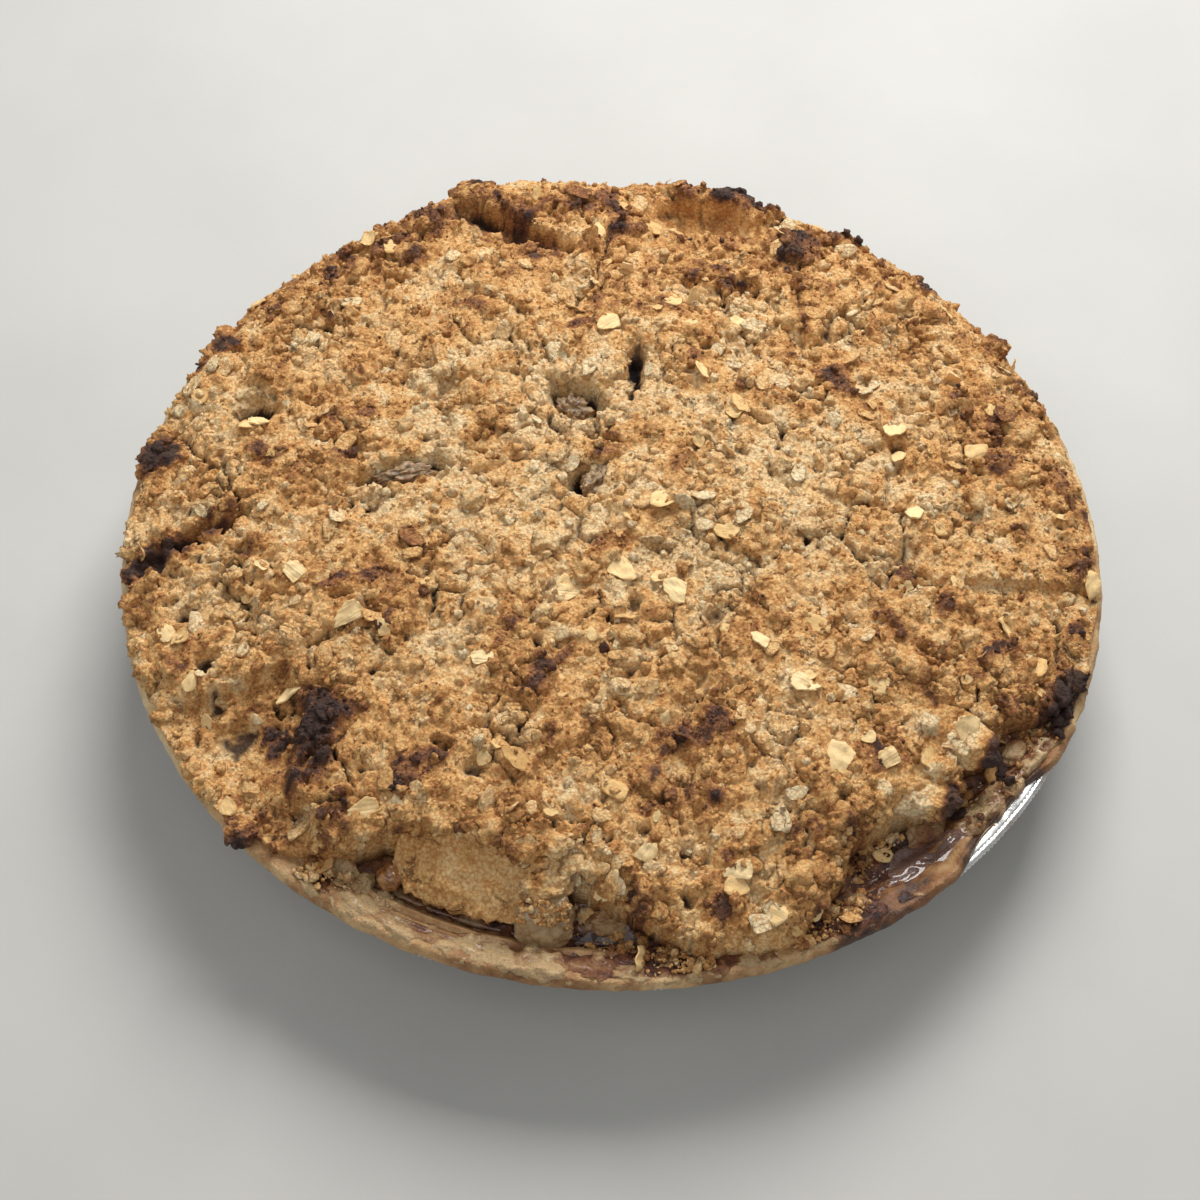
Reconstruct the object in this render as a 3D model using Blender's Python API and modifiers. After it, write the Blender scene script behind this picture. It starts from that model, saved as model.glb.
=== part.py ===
"""An apple pie with an oat crumble top, baked in a pleated foil tin.

The pie stands on the tin's flat base, with the origin under its middle and the
front, where the filling shows, towards -Y. Lengths are in millimetres and angles
in degrees, until finish() scales each mesh to metres.
"""

import math
import random

import bmesh
import bpy
from mathutils import Matrix, Vector, noise

MM = 0.001
SHORTEST_EDGE = 0.01
SHARP_ANGLE = 35.0
SEED = 7

# Foil tin: the inner face runs from the base up the flared side to the flange.
TIN_RADIUS = 115.0
FOIL = 0.5
BASE_RADIUS = 83.0
SIDE_TOP_RADIUS = 108.5
FLANGE_HEIGHT = 28.0
BEAD_DROP = 2.6
BEAD_WIDTH = 2.2
PLEATS = 50
PLEAT_DEPTH = 0.8

# Pastry shell, lying in the tin and over its flange.
GAP = 0.3
PASTRY_BASE_TOP = 4.8
PASTRY_INNER_BASE_RADIUS = 80.5
PASTRY_INNER_TOP = (103.5, 25.5)
PASTRY_CREST = (111.6, 31.6)
PASTRY_EDGE_RADIUS = 114.5
PASTRY_STEPS = 72
PASTRY_SHRINKAGE = 3.6

# Apple filling, heaped in the shell.
FILLING_RIM_HEIGHT = 28.2
FILLING_RISE = 10.0
FILLING_RADIUS = 104.3
FILLING_STEPS = 48
SINK_DEPTH = 3.6

# Crumble crown.
CROWN_EDGE_HEIGHT = 34.2
CROWN_RISE = 16.5
CROWN_RADIUS = 114.0
CROWN_POWER = 0.8
EDGE_ROUNDING = 7.0
BED_STEPS = 40
CROWN_CELLS = 35
EVEN_RADIUS = 110.0
CRAG_HEIGHT = 1.4
CRAG_SHIFT = 0.014
SWELL_SIZE = 38.0
SWELL_HEIGHT = 1.8

# Radius at which the crumble ends, by direction: it has broken away at the front,
# 233 to 281, and at the right of the front, 293 to 336.
CRUMBLE_EDGE = (
    (0, 113.4), (40, 113.0), (100, 113.6), (180, 113.4), (226, 113.6), (233, 110.0),
    (238, 103.0), (241, 97.0), (246, 96.5), (248, 101.5), (253, 103.5), (257, 105.5),
    (259, 94.5), (268.5, 94.5), (275, 100.5), (281, 109.5), (286, 111.0), (292, 112.0),
    (297, 106.0), (301, 103.0), (305, 96.5), (311, 97.0), (316, 101.5), (320, 101.5),
    (322.5, 97.0), (326, 101.5), (329, 101.0), (332, 100.5), (336, 109.0), (341, 113.0),
    (360, 113.4),
)

# How far the filling has sunk along its rim, by direction, as a share of SINK_DEPTH.
FILLING_SINK = (
    (0, 0.0), (228, 0.0), (240, 1.0), (270, 1.0), (281, 0.2), (300, 0.2),
    (311, 0.9), (324, 0.9), (336, 0.0), (360, 0.0),
)

# Where the main heap ends in a step above a lower outer band: direction and radius.
HEAP_STEP_LEFT = ((206, 130.0), (212, 86.0), (220, 88.0), (227, 102.0), (238, 107.0), (244, 130.0))
HEAP_STEP_RIGHT = ((318, 130.0), (324, 104.0), (331, 99.0), (341, 89.0), (350, 83.0), (358, 130.0))
STEP_LEFT_DROP = 4.5
STEP_RIGHT_DROP = 2.6
STEP_WIDTH = 3.0

# Swellings of the crown: centre x, y, half length, half width, turn, height.
SWELLINGS = (
    (-30.0, 106.0, 19.0, 9.0, 14, 6.0),
    (22.0, 108.0, 15.0, 6.0, -12, 4.0),
    (-48.0, -74.0, 20.0, 12.0, -35, 2.4),
    (40.0, -78.0, 26.0, 12.0, 25, 2.6),
)

# Pits in the crumble: centre x, y, half length, half width, turn, depth.
PITS = {
    "pit_middle_back": (-10.0, 28.4, 5.4, 4.2, -20, 8.5),
    "pit_middle_front": (-6.2, 5.0, 3.2, 5.4, -25, 7.5),
    "pit_crack": (-49.0, 5.6, 10.5, 2.5, 14, 5.5),
    "pit_slit": (3.2, 38.0, 1.8, 9.0, -4, 6.0),
    "pit_left_back": (-86.0, 27.3, 4.2, 3.2, 0, 6.0),
    "pit_left_front": (-81.7, -60.5, 5.0, 4.0, 30, 6.0),
    "pit_burnt_crack": (-99.0, -9.5, 14.0, 3.4, 28, 4.5),
    "pit_back_left": (-28.5, 90.0, 19.0, 4.2, -27, 7.0),
    "pit_back_hollow": (20.0, 96.5, 15.0, 6.2, -6, 7.5),
}
# Hollow under the slab at the front: centre, half sizes and turn.
SLAB_HOLLOW = ((-34.0, -97.0, 27.0), (19.0, 6.5, 4.6), -14)
APPLE_BITS = {
    "apple_bit_back": ("pit_middle_back", 0.54),
    "apple_bit_middle": ("pit_middle_front", 0.54),
    "apple_bit_crack": ("pit_crack", 0.5),
}
BIT_THICKNESS = 3.4
BIT_LIFT = 1.3

# Oat flakes that stand out in the crumble: x, y, length, turn.
BOLD_FLAKES = (
    (14.6, -27.3, 8.0, 60), (2.1, -22.1, 8.2, 50), (-58.2, -35.4, 8.4, 35), (-71.9, -22.8, 7.2, 10),
    (28.0, 56.3, 8.8, 35), (-51.1, -82.0, 8.2, 10), (43.1, -48.3, 7.4, 75), (9.5, -89.8, 6.6, 50),
    (2.1, -95.7, 8.2, 85), (80.0, -54.3, 9.0, 70), (33.4, -38.5, 6.6, 20), (64.3, 25.4, 8.4, 80),
    (-85.0, 22.2, 7.6, 110), (51.3, -65.7, 8.6, 35), (-9.8, -27.1, 6.4, 120), (-70.3, -50.8, 7.8, 150),
    (69.3, 1.0, 6.8, 70), (-28.0, -46.0, 6.2, 15), (62.0, -64.0, 6.4, 15), (29.5, -92.8, 7.0, 24),
)
GOLDEN_ANGLE = 137.508
FLAKE_WIDTH = 0.72
FLAKE_SIDES = 7
FLAKE_TOP = 0.72
FLAKE_THICKNESS = 2.8
FLAKE_LIFT = 0.15
SCATTERED_FLAKES = 28
SCATTERED_CLUMPS = 17
CLUMP_SIZE = (3.0, 6.2)

# Lumps that stand out over the edge: x, y, z, half sizes.
EDGE_LUMPS = (
    (-78.0, -84.0, 32.8, 3.2, 2.8, 2.4),
    (-110.6, -8.0, 33.4, 2.8, 4.4, 2.4),
    (76.0, -67.0, 34.5, 3.6, 3.2, 3.0),
    (85.5, -55.0, 35.0, 2.8, 3.2, 2.8),
    (-36.0, 105.5, 39.0, 6.4, 3.4, 3.0),
    (13.0, 108.0, 36.6, 2.8, 2.6, 3.0),
    (27.0, 106.5, 36.4, 4.6, 2.8, 2.6),
    (92.0, 62.0, 34.5, 3.4, 3.2, 2.6),
)

# Apple slices lying bare on the filling: x, y, z, half length, half width, turn, tilt.
SLICES = (
    (-29.0, -98.0, 25.2, 14.5, 5.2, -16, 16),
    (-53.5, -86.0, 25.6, 7.5, 4.4, -38, 12),
    (-44.0, -95.0, 25.0, 4.6, 3.6, 60, 10),
    (-4.0, -98.5, 25.0, 9.5, 4.4, 4, 12),
    (71.0, -73.0, 25.2, 9.0, 5.0, 42, 10),
    (84.0, -57.5, 25.6, 7.5, 4.4, 58, 12),
    (57.0, -84.5, 25.4, 6.5, 4.0, 30, 8),
)
SLICE_THICKNESS = 5.2

# Loose pieces at the front: centre, half sizes, turn, tilt.
CHUNK = ((-11.2, -101.0, 32.2), (5.4, 3.7, 4.2), 6, -20)
BEAD = ((-45.0, -91.0, 29.7), (3.1, 2.9, 2.8), 20, 0)


def interpolate(table, value):
    """The value of a piecewise straight table of (place, value) pairs."""
    for (a, first), (b, second) in zip(table, table[1:]):
        if value <= b:
            return first + (second - first) * max(0.0, value - a) / (b - a)
    return table[-1][1]


def smooth_step(low, high, value):
    share = min(1.0, max(0.0, (value - low) / (high - low)))
    return share * share * (3 - 2 * share)


def polar(x, y):
    return math.hypot(x, y), math.degrees(math.atan2(y, x)) % 360


def in_ellipse(x, y, centre_x, centre_y, half_length, half_width, turn):
    """Squared distance from the ellipse's centre, 1 at its outline."""
    angle = math.radians(turn)
    dx, dy = x - centre_x, y - centre_y
    along = dx * math.cos(angle) + dy * math.sin(angle)
    across = dy * math.cos(angle) - dx * math.sin(angle)
    return (along / half_length) ** 2 + (across / half_width) ** 2


def filling_height(x, y):
    """Top of the apple filling."""
    radius, direction = polar(x, y)
    crown = FILLING_RISE * max(0.0, 1 - (radius / FILLING_RADIUS) ** 2)
    sunk = SINK_DEPTH * interpolate(FILLING_SINK, direction) * smooth_step(84, 95, radius)
    return FILLING_RIM_HEIGHT + crown - sunk


def crumble_height(x, y):
    """Top of the crumble: the heaped crown, its steps, swellings and lumps."""
    radius, direction = polar(x, y)
    height = CROWN_EDGE_HEIGHT + CROWN_RISE * max(0.0, 1 - (radius / CROWN_RADIUS) ** 2) ** CROWN_POWER
    for step, drop in ((HEAP_STEP_LEFT, STEP_LEFT_DROP), (HEAP_STEP_RIGHT, STEP_RIGHT_DROP)):
        edge = interpolate(step, direction) if step[0][0] < direction < step[-1][0] else 2 * TIN_RADIUS
        height -= drop * smooth_step(edge - STEP_WIDTH, edge, radius)
    for centre_x, centre_y, half_length, half_width, turn, rise in SWELLINGS:
        height += rise * math.exp(-in_ellipse(x, y, centre_x, centre_y, half_length, half_width, turn))
    return height + SWELL_HEIGHT * noise.noise(Vector((x, y, 3.0)) / SWELL_SIZE)


def crumble_edge(direction):
    turn = Vector((math.cos(math.radians(direction)), math.sin(math.radians(direction)), 0.0))
    return interpolate(CRUMBLE_EDGE, direction) + 0.8 * noise.noise(turn * 9)


def rounded_height(x, y):
    """The crumble's top, rounded down to its rim."""
    radius, direction = polar(x, y)
    inward = (radius - (crumble_edge(direction) - EDGE_ROUNDING)) / EDGE_ROUNDING
    height = crumble_height(x, y)
    if inward <= 0:
        return height
    foot = PASTRY_CREST[1] + 0.5
    return foot + (height - foot) * math.sqrt(max(0.0, 1 - min(1.0, inward) ** 2))


def surface_normal(x, y, reach=1.5):
    slope_x = rounded_height(x + reach, y) - rounded_height(x - reach, y)
    slope_y = rounded_height(x, y + reach) - rounded_height(x, y - reach)
    return Vector((-slope_x, -slope_y, 2 * reach)).normalized()


def disc_place(u, v):
    """Maps the square -1 to 1 onto the unit disc, keeping its cells about alike."""
    if abs(u) < 1e-9 and abs(v) < 1e-9:
        return 0.0, 0.0
    if abs(u) > abs(v):
        reach, angle = u, math.pi / 4 * v / u
    else:
        reach, angle = v, math.pi / 2 - math.pi / 4 * u / v
    return reach * math.cos(angle), reach * math.sin(angle)


def new_collection(name):
    collection = bpy.data.collections.new(name)
    bpy.context.scene.collection.children.link(collection)
    return collection


def new_object(name, mesh, collection):
    obj = bpy.data.objects.new(name, mesh)
    collection.objects.link(obj)
    return obj


def mesh_from(name, shape):
    """Makes a mesh of a bmesh, with its faces pointing out."""
    bmesh.ops.recalc_face_normals(shape, faces=shape.faces)
    mesh = bpy.data.meshes.new(name)
    shape.to_mesh(mesh)
    shape.free()
    return mesh


def applied(obj):
    """Applies the object's modifiers to its mesh."""
    graph = bpy.context.evaluated_depsgraph_get()
    mesh = bpy.data.meshes.new_from_object(obj.evaluated_get(graph))
    obj.modifiers.clear()
    old = obj.data
    obj.data = mesh
    bpy.data.meshes.remove(old)
    return obj


def turned(name, profile, steps, collection):
    """A solid of revolution. The profile is a line of (radius, height), both ends on the axis."""
    shape = bmesh.new()
    points = [shape.verts.new((radius, 0, height)) for radius, height in profile]
    for first, second in zip(points, points[1:]):
        shape.edges.new((first, second))
    mesh = bpy.data.meshes.new(name)
    shape.to_mesh(mesh)
    shape.free()
    obj = new_object(name, mesh, collection)
    screw = obj.modifiers.new("turn", "SCREW")
    screw.axis = "Z"
    screw.steps = screw.render_steps = steps
    screw.use_merge_vertices = True
    screw.merge_threshold = 0.0001
    return applied(obj)


def combine(obj, others, operation, solver="EXACT"):
    """Joins the objects of a collection to obj, or cuts them from it, then removes them."""
    boolean = obj.modifiers.new(operation.lower(), "BOOLEAN")
    boolean.operation = operation
    boolean.operand_type = "COLLECTION"
    boolean.collection = others
    boolean.solver = solver
    bpy.context.view_layer.update()
    applied(obj)
    for other in list(others.objects):
        bpy.data.objects.remove(other)
    bpy.data.collections.remove(others)
    return obj


def material(name, colour, roughness, metallic=0.0):
    made = bpy.data.materials.new(name)
    made.use_nodes = True
    surface = made.node_tree.nodes["Principled BSDF"]
    surface.inputs["Base Color"].default_value = (*colour, 1.0)
    surface.inputs["Roughness"].default_value = roughness
    surface.inputs["Metallic"].default_value = metallic
    return made


def drop_scraps(shape):
    """Removes every loose piece but the one with the most points."""
    pieces = []
    unseen = set(shape.verts)
    while unseen:
        waiting = [unseen.pop()]
        piece = set(waiting)
        while waiting:
            linked = {vertex for edge in waiting.pop().link_edges for vertex in edge.verts} & unseen
            unseen -= linked
            piece |= linked
            waiting.extend(linked)
        pieces.append(piece)
    largest = max(pieces, key=len)
    bmesh.ops.delete(shape, geom=[v for v in shape.verts if v not in largest], context="VERTS")


def finish(obj, look):
    """Cleans the mesh, scales it to metres and gives it its material."""
    shape = bmesh.new()
    shape.from_mesh(obj.data)
    bmesh.ops.dissolve_degenerate(shape, dist=SHORTEST_EDGE, edges=shape.edges)
    drop_scraps(shape)
    shape.to_mesh(obj.data)
    shape.free()
    obj.data.transform(Matrix.Scale(MM, 4))
    obj.data.materials.clear()
    obj.data.materials.append(look)
    obj.data.shade_smooth()
    obj.data.set_sharp_from_angle(angle=math.radians(SHARP_ANGLE))
    return obj


def lump(name, collection, place, half_sizes, turn, tilt=0.0, roughness=0.0, finer=1, key=0.0):
    """A rounded piece: a sphere stretched to its half sizes, roughened, turned and tilted."""
    shape = bmesh.new()
    bmesh.ops.create_icosphere(shape, subdivisions=finer, radius=1.0)
    for vertex in shape.verts:
        vertex.co *= 1 + roughness * noise.noise(vertex.co * 1.9 + Vector((key, 0, 0)))
    bmesh.ops.scale(shape, vec=half_sizes, verts=shape.verts)
    obj = new_object(name, mesh_from(name, shape), collection)
    turned_by = Matrix.Rotation(math.radians(turn), 4, "Z") @ Matrix.Rotation(math.radians(tilt), 4, "X")
    obj.data.transform(Matrix.Translation(place) @ turned_by)
    return obj


def build_tin(parts):
    """Pressed foil: flat base, pleated side, flat flange and a rolled bead round it."""
    bead_bottom = FLANGE_HEIGHT - BEAD_DROP
    profile = (
        (0, FOIL), (BASE_RADIUS, FOIL), (SIDE_TOP_RADIUS, FLANGE_HEIGHT),
        (TIN_RADIUS - BEAD_WIDTH, FLANGE_HEIGHT), (TIN_RADIUS - 0.5, FLANGE_HEIGHT - 0.4),
        (TIN_RADIUS, FLANGE_HEIGHT - BEAD_DROP / 2), (TIN_RADIUS - 0.7, bead_bottom),
        (TIN_RADIUS - BEAD_WIDTH, bead_bottom + 0.8), (SIDE_TOP_RADIUS + FOIL, FLANGE_HEIGHT - FOIL),
        (BASE_RADIUS + FOIL, 0), (0, 0),
    )
    tin = turned("foil_tin", profile, 2 * PLEATS, parts)
    for vertex in tin.data.vertices:
        radius, direction = polar(vertex.co.x, vertex.co.y)
        on_side = BASE_RADIUS + 2 < radius < SIDE_TOP_RADIUS + 1
        pleat = round(direction / 360 * 2 * PLEATS) % 2
        if on_side and pleat:
            wider = 1 + PLEAT_DEPTH / radius
            vertex.co.x *= wider
            vertex.co.y *= wider
    return finish(tin, material("foil", (0.78, 0.78, 0.76), 0.3, 1.0))


def build_pastry(parts):
    """Shortcrust lining: a base, a flared side and a rim folded over the tin's flange."""
    crest_radius, crest_height = PASTRY_CREST
    inner_radius, inner_height = PASTRY_INNER_TOP
    bed = FLANGE_HEIGHT + GAP
    profile = (
        (0, PASTRY_BASE_TOP), (PASTRY_INNER_BASE_RADIUS, PASTRY_BASE_TOP), (inner_radius, inner_height),
        (inner_radius + 2.2, 28.4), (crest_radius - 3, crest_height - 0.9), (crest_radius, crest_height),
        (PASTRY_EDGE_RADIUS - 0.5, bed + 1.8), (PASTRY_EDGE_RADIUS, bed),
        (SIDE_TOP_RADIUS - GAP, bed), (BASE_RADIUS - 0.2, FOIL + GAP), (0, FOIL + GAP),
    )
    pastry = turned("pastry_shell", profile, PASTRY_STEPS, parts)
    for vertex in pastry.data.vertices:
        radius, direction = polar(vertex.co.x, vertex.co.y)
        if radius < crest_radius - 0.5 or vertex.co.z < bed - 0.1:
            continue
        # The edge is uneven, and has shrunk back from the bead at the right of the front.
        bare = smooth_step(313, 317, direction) * (1 - smooth_step(328, 331, direction))
        wander = noise.noise(Vector((vertex.co.x, vertex.co.y, 0)) / 11)
        if radius > crest_radius + 0.5:
            inward = PASTRY_SHRINKAGE * bare - 0.35 * wander
        else:
            inward = 0.45 * PASTRY_SHRINKAGE * bare
            vertex.co.z += 0.4 * wander - 0.5 * bare
        vertex.co.x *= 1 - inward / radius
        vertex.co.y *= 1 - inward / radius
    return finish(pastry, material("baked_pastry", (0.62, 0.40, 0.20), 0.7))


def build_filling(parts):
    """Sliced apple in thickened juice, heaped in the shell, with slices bare at the front."""
    foot_radius, foot_height = PASTRY_INNER_BASE_RADIUS - 2 * GAP, PASTRY_BASE_TOP + 2 * GAP
    side_radius, side_height = PASTRY_INNER_TOP[0] - 2 * GAP, PASTRY_INNER_TOP[1] + GAP
    rings = (0, 34, 62, 82, 90, 96, 100.5, FILLING_RADIUS)
    top = [(radius, filling_height(0, radius)) for radius in rings]
    profile = (*top, (side_radius, side_height), (foot_radius, foot_height), (0, foot_height))
    filling = turned("apple_filling", profile, FILLING_STEPS, parts)
    for vertex in filling.data.vertices:
        radius, direction = polar(vertex.co.x, vertex.co.y)
        if vertex.co.z < side_height + 0.5 or radius < 0.1:
            continue
        sunk = filling_height(vertex.co.x, vertex.co.y)
        bare = interpolate(FILLING_SINK, direction) * smooth_step(88, 95, radius)
        vertex.co.z = min(vertex.co.z, sunk) + 0.9 * bare * noise.noise(vertex.co / 6)
        if bare and radius > FILLING_RADIUS - 1:
            vertex.co.z = max(vertex.co.z, side_height - 0.9)
            vertex.co.x *= 1 - 2.3 * bare / radius
            vertex.co.y *= 1 - 2.3 * bare / radius
    slices = new_collection("slices")
    for index, (x, y, z, half_length, half_width, turn, tilt) in enumerate(SLICES):
        half_sizes = (half_length, half_width, SLICE_THICKNESS / 2)
        lump(f"slice_{index}", slices, Vector((x, y, z)), half_sizes, turn, tilt, 0.12, 2, index)
    combine(filling, slices, "UNION", "MANIFOLD")
    cutters = new_collection("cutters")
    clearance = new_object("pastry_clearance", pastry_clearance(), cutters)
    clearance.hide_render = True
    clearance.display_type = "WIRE"
    combine(filling, cutters, "DIFFERENCE", "MANIFOLD")
    return finish(filling, material("stewed_apple", (0.55, 0.38, 0.20), 0.25))


def pastry_clearance():
    """Everything outside the room that the pastry leaves: slices are trimmed to it."""
    inner_radius, inner_height = PASTRY_INNER_TOP
    profile = (
        (PASTRY_INNER_BASE_RADIUS - GAP, PASTRY_BASE_TOP + GAP), (inner_radius - GAP, inner_height + GAP),
        (inner_radius + 1.8, 28.7), (PASTRY_CREST[0] - 3.2, PASTRY_CREST[1] - 0.5),
        (PASTRY_CREST[0], PASTRY_CREST[1] + 0.8), (130, 33), (130, PASTRY_BASE_TOP + GAP),
    )
    shape = bmesh.new()
    points = [shape.verts.new((radius, 0, height)) for radius, height in profile]
    edges = [shape.edges.new((a, b)) for a, b in zip(points, points[1:] + points[:1])]
    bmesh.ops.spin(
        shape, geom=points + edges, axis=(0, 0, 1), cent=(0, 0, 0), angle=2 * math.pi,
        steps=FILLING_STEPS, use_merge=True,
    )
    bmesh.ops.remove_doubles(shape, verts=shape.verts, dist=0.001)
    return mesh_from("pastry_clearance", shape)


def crumble_block():
    """The crumble's top over a disc, with a wall and a flat bottom, before it is cut to its bed."""
    shape = bmesh.new()
    bmesh.ops.create_grid(shape, x_segments=CROWN_CELLS, y_segments=CROWN_CELLS, size=1.0)
    rng = random.Random(SEED)
    for vertex in shape.verts:
        u, v = disc_place(vertex.co.x, vertex.co.y)
        direction = math.degrees(math.atan2(v, u)) % 360
        if math.hypot(u, v) < 0.97:
            u += rng.uniform(-CRAG_SHIFT, CRAG_SHIFT)
            v += rng.uniform(-CRAG_SHIFT, CRAG_SHIFT)
        reach = math.hypot(u, v)
        scale = EVEN_RADIUS + (crumble_edge(direction) - EVEN_RADIUS) * smooth_step(0.7, 1.0, reach)
        x, y = u * scale, v * scale
        crag = rng.uniform(-1, 1) * CRAG_HEIGHT * (1 - reach ** 8)
        vertex.co = (x, y, rounded_height(x, y) + crag)
    bmesh.ops.triangulate(shape, faces=shape.faces, quad_method="BEAUTY")
    rim = [edge for edge in shape.edges if edge.is_boundary]
    down = bmesh.ops.extrude_edge_only(shape, edges=rim)["geom"]
    for vertex in down:
        if isinstance(vertex, bmesh.types.BMVert):
            vertex.co.z = FLANGE_HEIGHT - 8
    bmesh.ops.holes_fill(shape, edges=[edge for edge in shape.edges if edge.is_boundary])
    return mesh_from("crumble_topping", shape)


def crumble_bed():
    """What lies under the crumble: the smooth heap of filling and the pastry's rim."""
    crest_radius, crest_height = PASTRY_CREST
    heap = [(radius, filling_height(0, radius) + GAP) for radius in (0, 30, 55, 75, 90, 100)]
    outside = TIN_RADIUS + 5
    return (
        *heap, (FILLING_RADIUS, FILLING_RIM_HEIGHT + 0.7), (crest_radius - 3, crest_height + 0.2),
        (crest_radius, crest_height + 0.9), (outside, crest_height + 0.9), (outside, 5), (0, 5),
    )


def build_crumble(parts):
    """Baked crumble: one craggy crown with its clumps and oat flakes, hollowed by pits."""
    crumble = new_object("crumble_topping", crumble_block(), parts)
    rng = random.Random(SEED)
    pieces = new_collection("pieces")
    for index, (x, y, length, turn) in enumerate(BOLD_FLAKES):
        add_flake(f"bold_flake_{index}", pieces, x, y, length, turn, rng)
    for index, (x, y) in enumerate(scattered(SCATTERED_FLAKES, rng, 111)):
        add_flake(f"flake_{index}", pieces, x, y, rng.uniform(5.0, 8.0), rng.uniform(0, 180), rng)
    for index, (x, y) in enumerate(scattered(SCATTERED_CLUMPS, rng, 108)):
        size = rng.uniform(*CLUMP_SIZE)
        half_sizes = (size, size * rng.uniform(0.7, 1.0), size * rng.uniform(0.5, 0.75))
        place = Vector((x, y, rounded_height(x, y) + 0.1 * size))
        finer = 2 if size > 4.8 else 1
        lump(f"clump_{index}", pieces, place, half_sizes, rng.uniform(0, 180), 0, 0.5, finer, index)
    for index, (x, y, z, *half_sizes) in enumerate(EDGE_LUMPS):
        lump(f"edge_lump_{index}", pieces, Vector((x, y, z)), half_sizes, 15 * index, 0, 0.4, 2, index)
    combine(crumble, pieces, "UNION")

    cutters = new_collection("cutters")
    turned("bed_cutter", crumble_bed(), BED_STEPS, cutters)
    for name, (x, y, half_length, half_width, turn, depth) in PITS.items():
        place = Vector((x, y, rounded_height(x, y)))
        lump(name, cutters, place, (half_length, half_width, depth), turn, 0, 0.6, 2, depth)
    place, half_sizes, turn = SLAB_HOLLOW
    lump("slab_hollow", cutters, Vector(place), half_sizes, turn, 0, 0.1, 2, 0)
    for cutter in cutters.objects:
        cutter.hide_render = True
        cutter.display_type = "WIRE"
    combine(crumble, cutters, "DIFFERENCE")
    return finish(crumble, material("baked_crumble", (0.66, 0.43, 0.20), 0.85))


def scattered(count, rng, reach):
    """Places spread evenly over the crumble by the golden angle, each moved a little."""
    places = []
    for index in range(count):
        radius = reach * math.sqrt((index + 0.5) / count) + rng.uniform(-4, 4)
        direction = (index * GOLDEN_ANGLE + rng.uniform(-8, 8)) % 360
        if radius > crumble_edge(direction) - 4:
            radius = crumble_edge(direction) - rng.uniform(4, 9)
        turn = math.radians(direction)
        places.append((radius * math.cos(turn), radius * math.sin(turn)))
    return places


def add_flake(name, collection, x, y, length, turn, rng):
    """An oat flake: a flat oval with a worn rim, lying along the crumble's slope and sunk in it."""
    shape = bmesh.new()
    bmesh.ops.create_cone(
        shape, cap_ends=True, segments=FLAKE_SIDES, radius1=1, radius2=FLAKE_TOP, depth=1,
    )
    half_sizes = (length / 2, FLAKE_WIDTH * length / 2, FLAKE_THICKNESS)
    bmesh.ops.scale(shape, vec=half_sizes, verts=shape.verts)
    up = surface_normal(x, y).to_track_quat("Z", "Y").to_matrix().to_4x4()
    tilt = Matrix.Rotation(math.radians(rng.uniform(-14, 14)), 4, "X")
    turned_by = up @ Matrix.Rotation(math.radians(turn), 4, "Z") @ tilt
    shape.transform(Matrix.Translation((x, y, rounded_height(x, y) + FLAKE_LIFT)) @ turned_by)
    return new_object(name, mesh_from(name, shape), collection)


def build_apple_bits(parts):
    """Bits of apple that show at the bottom of three pits."""
    look = material("pale_apple", (0.56, 0.46, 0.30), 0.35)
    for name, (pit, share) in APPLE_BITS.items():
        x, y, half_length, half_width, turn, depth = PITS[pit]
        floor = rounded_height(x, y) - 0.8 * depth
        place = Vector((x, y, floor + BIT_THICKNESS / 2 + BIT_LIFT))
        half_sizes = (share * half_length, share * half_width, BIT_THICKNESS / 2)
        finish(lump(name, parts, place, half_sizes, turn, 0, 0.15, 2, 5), look)


def build_front_pieces(parts):
    """A chunk of apple that has slid out at the front, and a bead of set caramel beside it."""
    place, half_sizes, turn, tilt = CHUNK
    chunk = lump("apple_chunk_front", parts, Vector(place), half_sizes, turn, tilt, 0.12, 2, 3)
    finish(chunk, material("baked_apple", (0.50, 0.37, 0.21), 0.3))
    place, half_sizes, turn, tilt = BEAD
    bead = lump("caramel_bead", parts, Vector(place), half_sizes, turn, tilt, 0.08, 2, 1)
    finish(bead, material("caramel", (0.42, 0.17, 0.04), 0.15))


def build_pie():
    for obj in list(bpy.data.objects):
        bpy.data.objects.remove(obj)
    parts = new_collection("apple_crumble_pie")
    build_tin(parts)
    build_pastry(parts)
    build_filling(parts)
    build_crumble(parts)
    build_apple_bits(parts)
    build_front_pieces(parts)


build_pie()
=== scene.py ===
"""Looks of an apple pie with an oat crumble top in a foil tin.

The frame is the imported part: metres, +Z up, the tin's flat base at the origin and
the front, where the filling shows, towards -Y. Each section works in millimetres
and degrees, and add_piece() scales its mesh to metres.
"""

import math

import bmesh
import bpy
import numpy as np
from mathutils import Matrix, Vector, noise


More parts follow.
